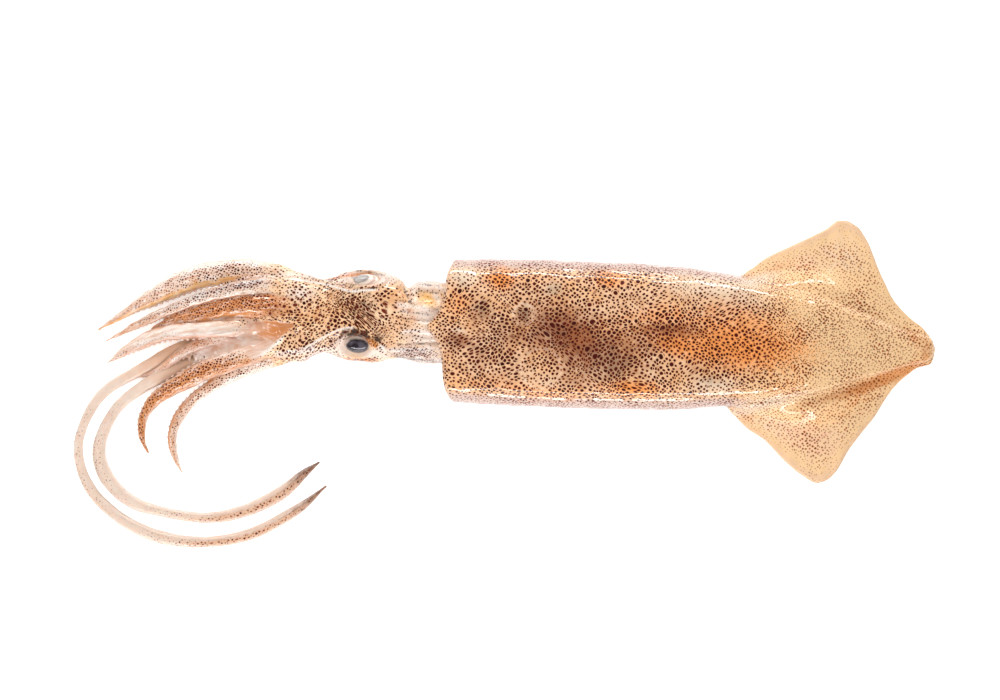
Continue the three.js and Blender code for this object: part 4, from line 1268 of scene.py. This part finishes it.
def draw_together(points, links, amount):
    """Moves each vertex by the amount of its way to the mean of its neighbours."""
    a, b, count = links
    total = [
        np.bincount(a, points[b, axis], len(points)) + np.bincount(b, points[a, axis], len(points))
        for axis in range(3)
    ]
    return points + amount * (np.stack(total, 1) / count - points)


def relax(points, links, rounds):
    """Draws the vertices together and then apart by a little more, over and over, so that steps are
    smoothed and thin tips keep their size."""
    for amount in (0.5, -0.53) * rounds:
        points = draw_together(points, links, amount)
    return points


def grow_together(grids, voxel):
    """One closed skin over overlapping tubes, as points and quads: they are voxel remeshed as one."""
    points, quads, triangles, start = [], [], [], 0
    for grid in grids:
        around, ends = tube_faces(*grid.shape[:2])
        points.append(tube_points(grid))
        quads.append(around + start)
        triangles.append(ends + start)
        start += len(points[-1])
    mesh = write_mesh("shells", np.vstack(points) / MM, np.vstack(quads), np.vstack(triangles))
    shells = bpy.data.objects.new("shells", mesh)
    bpy.context.scene.collection.objects.link(shells)
    remesh = shells.modifiers.new("Remesh", "REMESH")
    remesh.mode = "VOXEL"
    remesh.voxel_size = voxel
    skin = shells.evaluated_get(bpy.context.evaluated_depsgraph_get()).to_mesh()
    co = np.zeros(len(skin.vertices) * 3, np.float32)
    skin.vertices.foreach_get("co", co)
    corners = np.zeros(len(skin.loops), np.int32)
    skin.loops.foreach_get("vertex_index", corners)
    if len(corners) != 4 * len(skin.polygons):
        raise ValueError("the grown skin isn't all quads")
    bpy.data.objects.remove(shells)
    bpy.data.meshes.remove(mesh)
    return co.reshape(-1, 3).astype(float), corners.reshape(-1, 4)


def head_depth(points):
    """About how far each point lies outside the head: the superellipse's own measure times the
    section's smaller half-size, and the distance past the head's two ends."""
    x, y, z = points.T
    right, left, top, under, waist = head_section(x)
    half_width = (right - left) / 2
    half_height = np.where(z >= waist, top - waist, waist - under)
    across = np.abs(y - (left + right) / 2) / half_width
    up = np.abs(z - waist) / half_height
    measure = (across**HEAD_POWER + up**HEAD_POWER) ** (1 / HEAD_POWER)
    past = np.maximum(HEAD["top"][0][0] - x, 0) + np.maximum(x - HEAD["top"][-1][0], 0)
    return (measure - 1) * np.minimum(half_width, half_height) + past


def limb_places(points, frames):
    """For each point, against one limb: how far it lies outside the limb, how far along it is, its
    turn from the limb's top, and the limb's half-width there."""
    nearest = np.empty(len(points), int)
    depth = np.empty(len(points))
    for start in range(0, len(points), CHUNK):
        part = slice(start, start + CHUNK)
        gap = np.linalg.norm(points[part, None] - frames["middle"][None], axis=2) - frames["width"]
        nearest[part] = gap.argmin(1)
        depth[part] = gap.min(1)
    off = points - frames["middle"][nearest]
    along = frames["length"][nearest] + (off * frames["ahead"][nearest]).sum(1)
    turn = np.arctan2((off * frames["side"][nearest]).sum(1), (off * frames["up"][nearest]).sum(1))
    return depth, along, turn, frames["width"][nearest]


def skin_places(points, names, frames):
    """limb_places for the head and every limb, one column each, the head's first. On the head, the
    length runs along x and the turn is round its waist."""
    right, left, _, _, waist = head_section(points[:, 0])
    turn = np.arctan2(points[:, 1] - (left + right) / 2, points[:, 2] - waist)
    columns = [(head_depth(points), points[:, 0], turn, np.full(len(points), HEAD_ROUND))]
    columns += [limb_places(points, frames[name]) for name in names]
    return [np.stack(part, 1) for part in zip(*columns)]


def face_pattern(quads, owner, along, turn, width):
    """Pattern coordinates of every face's corners, in millimetres along and round the limb that owns
    its first corner. Past the seam underneath, a corner's turn goes on above pi."""
    mine = owner[quads[:, 0]][:, None]
    turns = turn[quads, mine]
    turns = turns + np.where(turns - turns[:, :1] < -math.pi, TAU, 0)
    turns = turns - np.where(turns - turns[:, :1] > math.pi, TAU, 0)
    uv = np.stack([along[quads, mine] + PATTERN_GAP * mine, turns * width[quads, mine]], -1)
    return uv.reshape(-1, 2)


def eye_axes(eye):
    """An eye's centre and its three half-length axes: along the head, across it, and outwards."""
    lean = math.radians(eye["lean"])
    across = np.array([0, math.cos(lean), math.sin(lean)])
    outward = np.array([0, -math.sin(lean), math.cos(lean)])
    a, b, c = eye["radii"]
    return np.array(eye["centre"]), np.array([1, 0, 0]) * a, across * b, outward * c


def eye_measure(points, eye):
    """1 on the eyeball, less inside it and more outside."""
    centre, *axes = eye_axes(eye)
    return np.sqrt(sum((((points - centre) @ axis) / (axis @ axis)) ** 2 for axis in axes))


def head_relief(points, normals, depth):
    """Height over the grown skin: brows and folds, sunken eye sockets inside raised lids, ribs on the
    neck, creases where limbs meet, and a soft unevenness."""
    upward = smoothstep(normals[:, 2], -0.1, 0.3)
    on_head = smoothstep(depth[:, 0], 1, 0.2)
    height = line_relief(points, HEAD_LINES) * upward
    for eye in EYES.values():
        q = eye_measure(points, eye)
        height -= SOCKET_DEPTH * (1 - smoothstep(q, 1.02, 1.3))
        height += LID_HEIGHT * bell(q - 1.32, 0.13)
    nearest, second = np.sort(depth, 1)[:, :2].T
    height -= CREASE_DEPTH * bell(second - nearest, 0.4) * smoothstep(nearest, 0.9, 0.3)
    neck = smoothstep(points[:, 0], -84, -80)
    turn = np.arctan2(points[:, 1] - NECK_MIDDLE[0], points[:, 2] - NECK_MIDDLE[1])
    ribs = np.sin(turn * NECK_RIBS + points[:, 0] * 0.12 + waves(points, 8, seed=25))
    height += RIB_HEIGHT * ribs * neck * upward
    height += 0.14 * waves(points, 9, seed=21) * on_head
    height -= WEB_SUNK * web_zone(points) * smoothstep(points[:, 0], -128, -117) * upward
    return height + 0.07 * waves(points, 2.6, seed=22) + 0.09 * waves(points, 5.2, seed=24)


def web_zone(points):
    """1 on the bare webs between the arms' roots, in plan: the strip between two lines."""
    x, y = points[:, 0], points[:, 1]
    below_upper = smoothstep(profile(WEB_UPPER, x) - y, -0.2, 0.6)
    inside = below_upper * smoothstep(y - profile(WEB_LOWER, x), -0.2, 0.6)
    return inside * smoothstep(x, -144, -138) * smoothstep(x, -113.2, -114.6)


def head_fields(points, normals, depth, along, frames, names):
    """Strength of each colour, and the size of the spots: each limb's own values along its length,
    blended by bells of the depth where limbs meet, and the patches in plan over them."""
    labels = ("warm", "gold", "smoke_and_shade", "pale", "pink", "grey", "beige", "white", "fine")
    x, y = points[:, 0], points[:, 1]
    nearest = depth.min(1)
    facing_up = normals[:, 2]
    weight = bell(depth - nearest[:, None], 0.45)
    weight /= weight.sum(1, keepdims=True)
    fields = {label: np.zeros(len(points)) for label in labels}
    shown = smoothstep(facing_up, -0.5, 0.1)
    uneven = waves(points, 7, seed=27)
    fields["spots"] = weight[:, 0] * (0.2 + 0.8 * shown) * profile(HEAD_SPOTS_ALONG, x)
    fields["warm"] += weight[:, 0] * 0.2
    fields["limb"] = np.zeros(len(points))
    for column, name in enumerate(names, 1):
        line = frames[name]
        share = np.clip(along[:, column] / line["length"][-1], 0, 1)
        at = np.clip(np.searchsorted(line["length"], along[:, column]), 0, len(line["length"]) - 1)
        grown = smoothstep(share + 0.04 * uneven, *LIMB_SKINS[name].get("shows", (0.1, 0.36)))
        fields["limb"] += weight[:, column] * grown
        fields["spots"] += weight[:, column] * (1 - grown) * 0.8
        for label, turn, spread, strengths in LIMB_SKINS[name]["bands"]:
            facing = math.radians(turn)
            towards = line["side"][at] * math.cos(facing) + line["up"][at] * math.sin(facing)
            off = np.arccos(np.clip((normals * towards).sum(1), -1, 1))
            strength = np.interp(share, (0.15, 0.55, 1), strengths) * bell(off, math.radians(spread))
            fields["fine" if label == "spots" else label] += weight[:, column] * strength * grown
    for label in HEAD_PATCHES:
        added = ovals(points, HEAD_PATCHES[label])
        if label in HEAD_STROKES:
            added = np.clip(np.maximum(added, line_relief(points, HEAD_STROKES[label])), 0, 1)
        added = added * smoothstep(facing_up, -0.2, 0.25)
        fields[label] = 1 - (1 - np.clip(fields[label], 0, 1)) * (1 - added)
    # Painted shade: darker colour in the creases where two limbs' roots meet.
    limb_first, limb_second = np.sort(depth[:, 1:], 1)[:, :2].T
    parted = smoothstep(limb_first, 0.9, 0.3) * smoothstep(x, -116, -128)
    fields["crease_shade"] = bell(limb_second - limb_first, 0.35) * parted
    fields["web"] = smoothstep(nearest, 0.3, 1) * smoothstep(x, -113, -118) * shown
    zone = web_zone(points) * shown
    orange = profile(WEB_ORANGE, x) * smoothstep(y, -7.5, -3.5)
    fields["warm"] = mix(fields["warm"] * (1 - 0.8 * fields["beige"]), orange, zone)
    fields["web"] = np.maximum(fields["web"], zone)
    fields["pink"] = fields["pink"] * (1 - zone * smoothstep(x, -130, -122))
    fields["limb"] = np.maximum(fields["limb"], weight[:, 0] * smoothstep(facing_up, 0.1, -0.5))
    fields["fibre"] = np.clip(fields["limb"] + fields["web"] * (1 - 0.5 * zone), 0, 1)
    # Painted shade: a darker band where the skin faces sideways, round the sides of the limbs and head,
    # which reads as an outline.
    fields["rim"] = bell(facing_up - 0.08, 0.16) * smoothstep(points[:, 2], 0.3, 1.2)
    patches = {label: ovals(points, HEAD_SPOT_PATCHES[label]) for label in HEAD_SPOT_PATCHES}
    neck = smoothstep(x, -84, -79) * smoothstep(facing_up, -0.3, 0.3)
    paled = neck * (0.45 + 0.4 * waves(points, 4, seed=26)) * (1 - patches["tan"])
    fields["pale"] = np.maximum(fields["pale"], paled)
    brows = np.clip(line_relief(points, HEAD_STROKES["pale"][:2]), 0, 1) * shown
    fields["spots"] *= (1 - 0.3 * fields["pale"]) * (1 + 0.2 * waves(points, 6, seed=23))
    fields["spots"] = np.maximum(fields["spots"], 0.95 * patches["speckled"] * shown)
    fields["spots"] *= 1 - 0.25 * patches["drawn_out"]
    for eye in EYES.values():
        fields["spots"] *= smoothstep(eye_measure(points, eye), 1.25, 1.75)
    fields["big"] = patches["big"] * shown
    fields["big"] *= 1 - 0.8 * patches["drawn_out"]
    dots = np.maximum(patches["dotted"] * 1.1, patches["drawn_out"] * 1.4)
    fields["fine"] = np.maximum(fields["fine"], dots * shown)
    for label in ("spots", "big", "fine"):
        fields[label] = fields[label] * (1 - 0.9 * brows) * (1 - fields["web"])
    fields["smoke_and_shade"] *= 1 + 0.5 * waves(points, 1.5, seed=28)
    web_end = smoothstep(nearest, 0.1, 0.6) * smoothstep(x, -136, -141) * smoothstep(y, -7, -9)
    for label in ("warm", "smoke_and_shade", "gold", "grey", "crease_shade"):
        fields[label] = fields[label] * (1 - 0.85 * web_end)
    return fields


def make_head(material, names, frames):
    """The head, arms, funnel and webs: their tubes grown together, smoothed, filled in between the
    arms' roots, and moved out along the normals by the relief."""
    grids = [head_grid()]
    grids += [limb_grid(frames[name], arm_shape(LIMB_SKINS[name]["oral"])) for name in names]
    grids += [web_grid(frames[first], frames[second], *reaches) for first, second, *reaches in WEBS]
    points, quads = grow_together(grids, SKIN_VOXEL)
    links = neighbours(quads, len(points))
    points = relax(points, links, 5)
    depth, along, turn, width = skin_places(points, names, frames)
    nearest, second = np.sort(depth, 1)[:, :2].T
    webbed = 0.5 * smoothstep(second - nearest, 2.2, 0.4) * smoothstep(points[:, 0], -136, -122)
    for _ in range(CREASE_ROUNDS):
        points = draw_together(points, links, webbed[:, None])
    normals = surface_normals(points, quads)
    points = points + normals * head_relief(points, normals, depth)[:, None]
    points = relax(points, links, 1)
    points[:, 2] = np.maximum(points[:, 2], 0)
    points = inside_box(points, "head_and_arms")

    normals = surface_normals(points, quads)
    owner = depth.argmin(1)
    corners = face_pattern(quads, owner, along, turn, width)
    for centre, direction, reach, amount in HEAD_STRETCHES:
        corners = stretch(corners, centre, direction, reach, amount)
    fields = head_fields(points, normals, depth, along, frames, names)
    mesh = write_mesh("head_skin", points, quads)
    add_piece("head_skin", mesh, material, "head_and_arms", corners, fields)


# ---- tentacles ----
def tentacle_shape(length_all):
    """A tentacle's section as a factor of its half-width: round along its stalk, and over the club at
    its end flattened below, with a keel along its outer edge."""

    def factor(angle, length):
        club = smoothstep(length / length_all, 0.72, 0.8) * (1 - smoothstep(length / length_all, 0.93, 1))
        keel = bell(turn_between(angle, math.radians(150)), math.radians(16))
        flat = smoothstep(-np.sin(angle), 0.4, 1)
        ripple = 1 + 0.3 * np.sin(length * TAU / 3.1) * np.sin(length * TAU / 7.3)
        return 0.97 + club * (0.13 * keel * ripple - 0.08 * flat)

    return factor


def make_tentacle(name, material, frames):
    """A tentacle: its tube with the root sunk, moved out along its normals by soft noise. Its fields
    are profiles, steps and bells of the share of its length and of the turn from its top."""
    grid = limb_grid(frames, tentacle_shape(frames["length"][-1]))
    grid[..., 2] -= TENTACLE_SINK * smoothstep(grid[..., 0], -156, -144) * smoothstep(-grid[..., 1], 28, 20)
    normals = grid_normals(grid)
    flat = grid.reshape(-1, 3)
    height = (0.05 * waves(flat, 6, seed=31) + 0.025 * waves(flat, 2, seed=32)).reshape(grid.shape[:2])
    grid = grid + normals * height[..., None]
    grid[..., 2] = np.maximum(grid[..., 2], 0)
    grid = inside_box(grid, "head_and_arms")

    turn = np.linspace(-math.pi, math.pi, LIMB_COLUMNS + 1)
    length = frames["length"]
    uv = np.stack([
        np.broadcast_to(length[:, None], (len(length), LIMB_COLUMNS + 1)),
        frames["width"][:, None] * turn[None],
    ], -1)
    points = tube_points(grid)
    quads, triangles = tube_faces(*grid.shape[:2])
    share = np.append(np.repeat(length / length[-1], LIMB_COLUMNS), [0, 1])
    angle = np.append(np.tile(turn[:-1], len(length)), [0, 0])
    outer = smoothstep(np.sin(angle + 0.5), -0.35, 0.45)
    upper = smoothstep(np.cos(angle), -0.5, 0.3)
    spotted = profile(TENTACLE_SPOTS_ALONG, share)
    club = smoothstep(share, 0.7, 0.8)
    rooted = 0.8 * (1 - smoothstep(share, 0.2, 0.36))
    ridge = bell(np.sin(angle) - 0.25, 0.35) * smoothstep(np.cos(angle), -0.2, 0.3)
    fields = {
        "spots": spotted * upper * mix(0.35 + 0.65 * outer, ridge + 0.25, club),
        "warm": np.clip(0.12 + 0.75 * club * ridge + 0.25 * spotted * outer + rooted, 0, 1),
        # The tips' brown is the skin's own; the last term is painted shade, a dark line along both sides at
        # mid-height.
        "smoke_and_shade": 0.75 * smoothstep(share, 0.88, 1) + 0.3 * club * bell(np.sin(angle) + 0.15, 0.12)
        + 0.22 * bell(np.cos(angle) - 0.05, 0.16),
        "pink": 0.3 + 0.3 * smoothstep(np.abs(np.sin(angle)), 0.75, 1) + 0.2 * club + rooted,
        "pale": 0.35 * (1 - club) + 0.3 * bell(np.sin(angle) + 0.6, 0.3) * club,
    }
    piece = name.replace("tentacle", "tentacle_skin")
    mesh = write_mesh(piece, points, quads, triangles)
    add_piece(piece, mesh, material, "head_and_arms", tube_corners(uv), fields)


# ---- suckers ----
def sucker_rows(frames, oral, spread, spacing, start):
    """Places, outward and forward directions and sizes of two rows of suckers, staggered, on each side
    of the direction they face."""
    length = frames["length"]
    total = length[-1]
    places = []
    for row, turn in enumerate((-spread, spread)):
        at = [start * total + 0.5 * spacing * row]
        while at[-1] < SUCKERS_END * total:
            size = np.interp(at[-1], length, frames["width"])
            at.append(at[-1] + spacing * (0.35 + 0.65 * min(size / 2.5, 1)))
        at = np.array(at)
        angle = math.radians(oral + turn)
        middle, ahead, side, up = (
            np.stack([np.interp(at, length, column) for column in frames[key].T], 1)
            for key in ("middle", "ahead", "side", "up")
        )
        width = np.interp(at, length, frames["width"])[:, None]
        reach = width * 0.9
        out = unit(side * math.cos(angle) + up * math.sin(angle))
        place = middle + side * math.cos(angle) * reach + up * math.sin(angle) * reach * LIMB_FLATNESS
        places.append(np.hstack([place, out, unit(ahead), np.clip(width * SUCKER_SIZE, *SUCKER_SIZES)]))
    return np.vstack(places)


def make_suckers(material, frames):
    """Little cups, each a profile of (radius, height) turned round its own outward direction, in two
    rows along every arm and over both clubs. Those that a limb presses into the surface are left out."""
    rows = [
        sucker_rows(frames[name], LIMB_SKINS[name]["oral"], **ARM_SUCKERS)
        for name in LIMB_SKINS
        if name != "funnel"
    ]
    rows += [
        sucker_rows(frames[name], spread=spread, **CLUB_SUCKERS)
        for name in TENTACLES
        for spread in CLUB_SPREADS
    ]
    cups = np.vstack(rows)
    cups = cups[cups[:, 2] > 0.25]
    place, out, ahead, size = cups[:, :3], cups[:, 3:6], cups[:, 6:9], cups[:, 9:]
    side = unit(np.cross(out, ahead))
    front = np.cross(side, out)
    angle = TAU * np.arange(SUCKER_SIDES) / SUCKER_SIDES
    radius, height = np.array(SUCKER_PROFILE).T
    ring = radius[:, None] * np.cos(angle), radius[:, None] * np.sin(angle)
    grid = (
        place[:, None, None]
        + side[:, None, None] * (size[:, None] * ring[0][None])[..., None]
        + front[:, None, None] * (size[:, None] * ring[1][None])[..., None]
        + out[:, None, None] * (size[:, None] * height[None, :, None])[..., None]
    )
    points = np.concatenate([grid.reshape(len(cups), -1, 3), grid[:, [0, -1]].mean(2)], 1)
    quads, triangles = tube_faces(len(radius), SUCKER_SIDES)
    start = np.arange(len(cups))[:, None, None] * points.shape[1]
    points = inside_box(points.reshape(-1, 3), "head_and_arms")
    quads, triangles = (quads[None] + start).reshape(-1, 4), (triangles[None] + start).reshape(-1, 3)
    mesh = write_mesh("suckers", points, quads, triangles)
    add_piece("suckers", mesh, material, "head_and_arms")


# ---- eyes ----
def make_eye(name, eye, material):
    """An eyeball: an ellipsoid that bulges by a bell round its outward pole, where the clear front of
    the eye is. Its pattern coordinates are the place across the pupil, 1 at the eyeball's rim."""
    centre, along, across, outward = eye_axes(eye)
    polar = np.linspace(0.02, math.pi - 0.02, EYE_ROWS)[:, None]
    turn = TAU * np.arange(EYE_COLUMNS + 1) / EYE_COLUMNS
    bulge = 0.95 + CORNEA_BULGE * bell(polar, 0.7)
    flat = np.sin(polar) * bulge
    grid = (
        centre
        + along * (flat * np.cos(turn))[..., None]
        + across * (flat * np.sin(turn))[..., None]
        + outward * (np.cos(polar) * bulge * np.ones_like(turn))[..., None]
    )
    reach = np.where(polar < math.pi / 2, np.sin(polar), 2 - np.sin(polar))
    uv = np.stack([reach * np.cos(turn), reach * np.sin(turn)], -1)
    grid = grid[::-1]
    points = inside_box(tube_points(grid[:, :-1]), name)
    quads, triangles = tube_faces(EYE_ROWS, EYE_COLUMNS)
    mesh = write_mesh(name + "_ball", points, quads, triangles)
    add_piece(name + "_ball", mesh, material, name, tube_corners(uv[::-1]))


def make_eye_material(title, pupil, soft, pupil_colours, ring_colour, outer_colour, shift, vein):
    """Dark pupil under lighter mottling that is a painted reflection, a thin darker line round it, a
    silvery ring mottled by the same noise, pale flesh, and a reddish line of strength vein round both, told
    apart by the distance from the pupil's middle, under a clear wet film. shift moves the pupil across the
    eyeball."""
    material, tree, shader = new_material(title)
    uv = add_node(tree, "UVMap", uv_map="Skin").outputs[0]
    uv = vector_calc(tree, "SUBTRACT", uv, (*shift, 0))
    wobble = noise(tree, uv, 2.1, 2).outputs[0]
    away = calc(tree, "MULTIPLY_ADD", calc(tree, "SUBTRACT", wobble, 0.5), 0.2, vector_length(tree, uv))
    # Over the pupil its lighter patches are a painted reflection; over the ring they mottle the eye's own
    # colours.
    mottle_and_glint = remap(tree, noise(tree, object_place(tree), 450, 3, 0.6).outputs[0], 0.35, 0.7)
    black, glinting_tone = (linear(*tone) for tone in pupil_colours)
    dark = blend_colours(tree, calc(tree, "MULTIPLY", mottle_and_glint, 0.75), black, glinting_tone)
    ring = blend_colours(tree, mottle_and_glint, linear(*ring_colour), linear(*outer_colour))
    colour = blend_colours(tree, remap(tree, away, pupil + 0.12, pupil + 0.4), ring, linear(*outer_colour))
    band = calc(tree, "ABSOLUTE", calc(tree, "SUBTRACT", away, 0.86))
    band = calc(tree, "MULTIPLY", remap(tree, band, 0.11, 0.02), vein)
    colour = blend_colours(tree, band, colour, linear(*VEIN_RED))
    colour = blend_colours(tree, remap(tree, away, pupil + soft, pupil - soft), colour, dark)
    line = calc(tree, "ABSOLUTE", calc(tree, "SUBTRACT", away, pupil))
    shade = calc(tree, "MULTIPLY", remap(tree, line, 0.13, 0.02), 0.6 - 1.5 * soft)
    colour = blend_colours(tree, shade, colour, linear(*PUPIL_LINE))
    tree.links.new(colour, shader.inputs["Base Color"])
    shader.inputs["Roughness"].default_value = 0.22
    shader.inputs["Coat Weight"].default_value = 1
    set_flesh(shader, 0.5, 0.08, 0.05)
    return material


# ---- materials of the skin ----
def make_mantle_material():
    """Closely spotted skin, paler and more finely spotted towards the tail."""
    tones = [
        ("tail", (238, 198, 150), 1),
        ("side", (194, 172, 162), 0.9),
        ("flank_shade", (140, 114, 102), 0.75),
        # Painted shade along the mantle's outline.
        ("belly", (228, 208, 198), 0.85),
        ("warm", (242, 148, 66), 0.85),
        # Paler skin, and painted highlights by the shoulders.
        ("pale", (228, 208, 184), 0.8),
        ("brown", (112, 58, 32), 0.85),
        ("grey", (138, 122, 98), 0.6),
        ("shade", (206, 124, 56), 0.75),
        ("edge", (222, 184, 156), 0.6),
        ("inside", (226, 206, 194), 1),
    ]
    layers = [
        (1.12, 0.66, 0.1, 0.12, 0.14, 1, (160, 76, 30), (206, 116, 56), 0.5, "opened", 2, 0),
        (0.96, 0.23, 0.28, 0.06, 0.2, 0.96, (106, 32, 0), (156, 64, 8), 1, "fine", 3, 0),
        (1.12, 0.41, 0.2, 0.07, 0.22, 1, BLACK_BROWN, DARK_BROWN, 1, "spots", 2, 0),
        (3.7, 0.54, 0.25, 0.12, 0.8, 0.42, BLACK_BROWN, DARK_BROWN, 1, "spots", 4, 0.25),
    ]
    base = ((233, 191, 153), (210, 160, 120), (234, 172, 112))
    flesh = {"drift": 1.5, "depth": 0.6, "share": 0.04, "swell": 0.8, "crinkle": 0.25}
    return make_skin("Mantle skin", base, tones, layers, **flesh)


def make_head_material():
    """Pale flesh with sparser spots, drawn out into fibres along the limbs."""
    tones = [
        ("limb", (224, 198, 180), 0.85),
        ("beige", (232, 208, 190), 0.95),
        ("web", (216, 182, 164), 0.9),
        ("grey", (168, 160, 158), 0.8),
        ("pink", (222, 176, 160), 0.7),
        # Paler skin, and painted highlight lines along the brows, folds and edges.
        ("pale", (234, 220, 210), 0.9),
        ("gold", (242, 188, 112), 0.9),
        # Painted shade in the creases between the limbs' roots.
        ("warm", (200, 118, 46), 0.88),
        ("crease_shade", (160, 88, 50), 0.7),
        # Painted shade along the sides of the limbs and head.
        ("rim", (142, 98, 74), 0.65),
        # Dark smoky skin by the eyes, and painted shade in the neck's folds and along the funnel.
        ("smoke_and_shade", (44, 34, 32), 0.95),
        # Painted highlights and glints.
        ("white", (252, 246, 240), 0.9),
    ]
    layers = [
        (0.88, 0.3, 0.4, 0.06, 0.18, 0.96, BLACK_BROWN, RED_BROWN, 1, "fine", 1, 0),
        (1.16, 0.44, 0.34, 0.08, 0.22, 1, BLACK_BROWN, DARK_BROWN, 1, "spots", 2, 0),
        (2.3, 0.62, 0.25, 0.12, 0.6, 0.9, (70, 14, 6), (112, 38, 20), 1, "big", 5, 0.2),
    ]
    base = ((242, 206, 168), (226, 178, 138), (238, 186, 130))
    streaks = ("fibre", (252, 244, 238), (206, 140, 96), 0.5)
    flesh = {"drift": 1, "depth": 0.8, "share": 0.08, "crinkle": 1.2, "streaks": streaks}
    return make_skin("Head skin", base, tones, layers, **flesh)


def make_tentacle_material():
    """Bare, clear flesh with a few small spots."""
    tones = [
        ("pink", (218, 184, 168), 0.7),
        ("pale", (228, 212, 198), 0.8),
        ("warm", (214, 160, 118), 0.6),
        # Brown tips, and painted shade along the sides.
        ("smoke_and_shade", (96, 60, 46), 0.8),
    ]
    layers = [
        (0.8, 0.17, 0.5, 0.06, 0.2, 0.6, RED_BROWN, RUST, 0.6, "spots", 1, 0),
        (1.1, 0.27, 0.4, 0.08, 0.2, 0.75, BLACK_BROWN, RED_BROWN, 0.9, "spots", 2, 0),
    ]
    base = ((222, 204, 190), (210, 188, 170), (218, 198, 182))
    return make_skin("Tentacle skin", base, tones, layers, drift=0.8, depth=1.2, share=0.35)


def make_sucker_material():
    """Pale wet flesh, mottled a little."""
    material, tree, shader = new_material("Sucker flesh")
    mottle = remap(tree, noise(tree, object_place(tree), 700, 2).outputs[0], 0.35, 0.65)
    colour = blend_colours(tree, mottle, linear(246, 226, 212), linear(232, 196, 176))
    tree.links.new(colour, shader.inputs["Base Color"])
    shader.inputs["Roughness"].default_value = 0.3
    shader.inputs["Coat Weight"].default_value = 0.6
    set_flesh(shader, 0.6, 0.3, 0.1)
    return material


# ---- what stands round the squid ----
def make_floor():
    """A wide level square just under the belly, matte white and glowing a little, more so far out."""
    corners = np.array([(-1, -1), (1, -1), (1, 1), (-1, 1)]) * FLOOR_REACH
    mesh = write_mesh("floor", np.insert(corners, 2, FLOOR_Z, axis=1), np.array([[0, 1, 2, 3]]))
    material, tree, shader = new_material("White board")
    place = object_place(tree)
    tint = remap(tree, noise(tree, place, 3, 2).outputs[0], 0.3, 0.7)
    colour = blend_colours(tree, tint, (0.97, 0.97, 0.97, 1), (0.99, 0.99, 0.99, 1))
    tree.links.new(colour, shader.inputs["Base Color"])
    shader.inputs["Roughness"].default_value = 0.9
    shader.inputs["Specular IOR Level"].default_value = 0
    far_out = remap(tree, vector_length(tree, place), 0.3, 0.9)
    glow = blend_colours(tree, far_out, (0.4, 0.4, 0.4, 1), (1, 1, 1, 1))
    tree.links.new(glow, shader.inputs["Emission Color"])
    shader.inputs["Emission Strength"].default_value = 1
    mesh.materials.append(material)
    floor = bpy.data.objects.new("floor", mesh)
    bpy.context.scene.collection.objects.link(floor)


def make_light(name, place, size, power, target, mirrored):
    """A soft rectangular lamp that faces the target, unseen by the camera itself. One that isn't
    mirrored lights the skin without lying over it as a pale sheen."""
    lamp = bpy.data.lights.new(name, "AREA")
    lamp.shape = "RECTANGLE"
    lamp.size, lamp.size_y = (side * MM for side in size)
    lamp.energy = power
    holder = bpy.data.objects.new(name, lamp)
    bpy.context.scene.collection.objects.link(holder)
    away = np.array(place, float) - np.array(target, float)
    holder.location = [v * MM for v in place]
    holder.rotation_mode = "QUATERNION"
    holder.rotation_quaternion = Vector(away).to_track_quat("Z", "Y")
    holder.visible_camera = False
    holder.visible_glossy = mirrored


def make_camera():
    """Straight above the middle of the view, turned a little, at the distance that shows its width."""
    camera = bpy.data.cameras.new("camera")
    camera.lens = LENS
    camera.sensor_width = SENSOR
    holder = bpy.data.objects.new("camera", camera)
    bpy.context.scene.collection.objects.link(holder)
    x, y, z = VIEW_CENTRE
    holder.location = [v * MM for v in (x, y, z + VIEW_WIDTH * LENS / SENSOR)]
    holder.rotation_euler = (0, 0, math.radians(VIEW_TURN))
    bpy.context.scene.camera = holder


def make_world(strength):
    """Plain white to the camera, and a soft light of the given strength on everything else."""
    world = bpy.data.worlds.new("studio")
    world.use_nodes = True
    tree = world.node_tree
    backdrop = tree.nodes["Background"]
    backdrop.inputs[0].default_value = (1, 1, 1, 1)
    seen = add_node(tree, "LightPath").outputs["Is Camera Ray"]
    tree.links.new(calc(tree, "MAXIMUM", seen, strength), backdrop.inputs[1])
    bpy.context.scene.world = world


# ---- the squid ----
all_frames = {name: route_frames(route) for name, route in LIMBS.items()}
tentacle_material = make_tentacle_material()

make_mantle(make_mantle_material())
make_head(make_head_material(), list(LIMB_SKINS), all_frames)
for tentacle in TENTACLES:
    make_tentacle(tentacle, tentacle_material, all_frames[tentacle])
make_suckers(make_sucker_material(), all_frames)
for name, eye in EYES.items():
    make_eye(name, eye, make_eye_material(**EYE_LOOKS[name]))

make_floor()
make_world(WORLD_LIGHT)
for name, settings in LAMPS.items():
    make_light(name, *settings)
make_camera()
bpy.context.scene.view_settings.view_transform = "Standard"
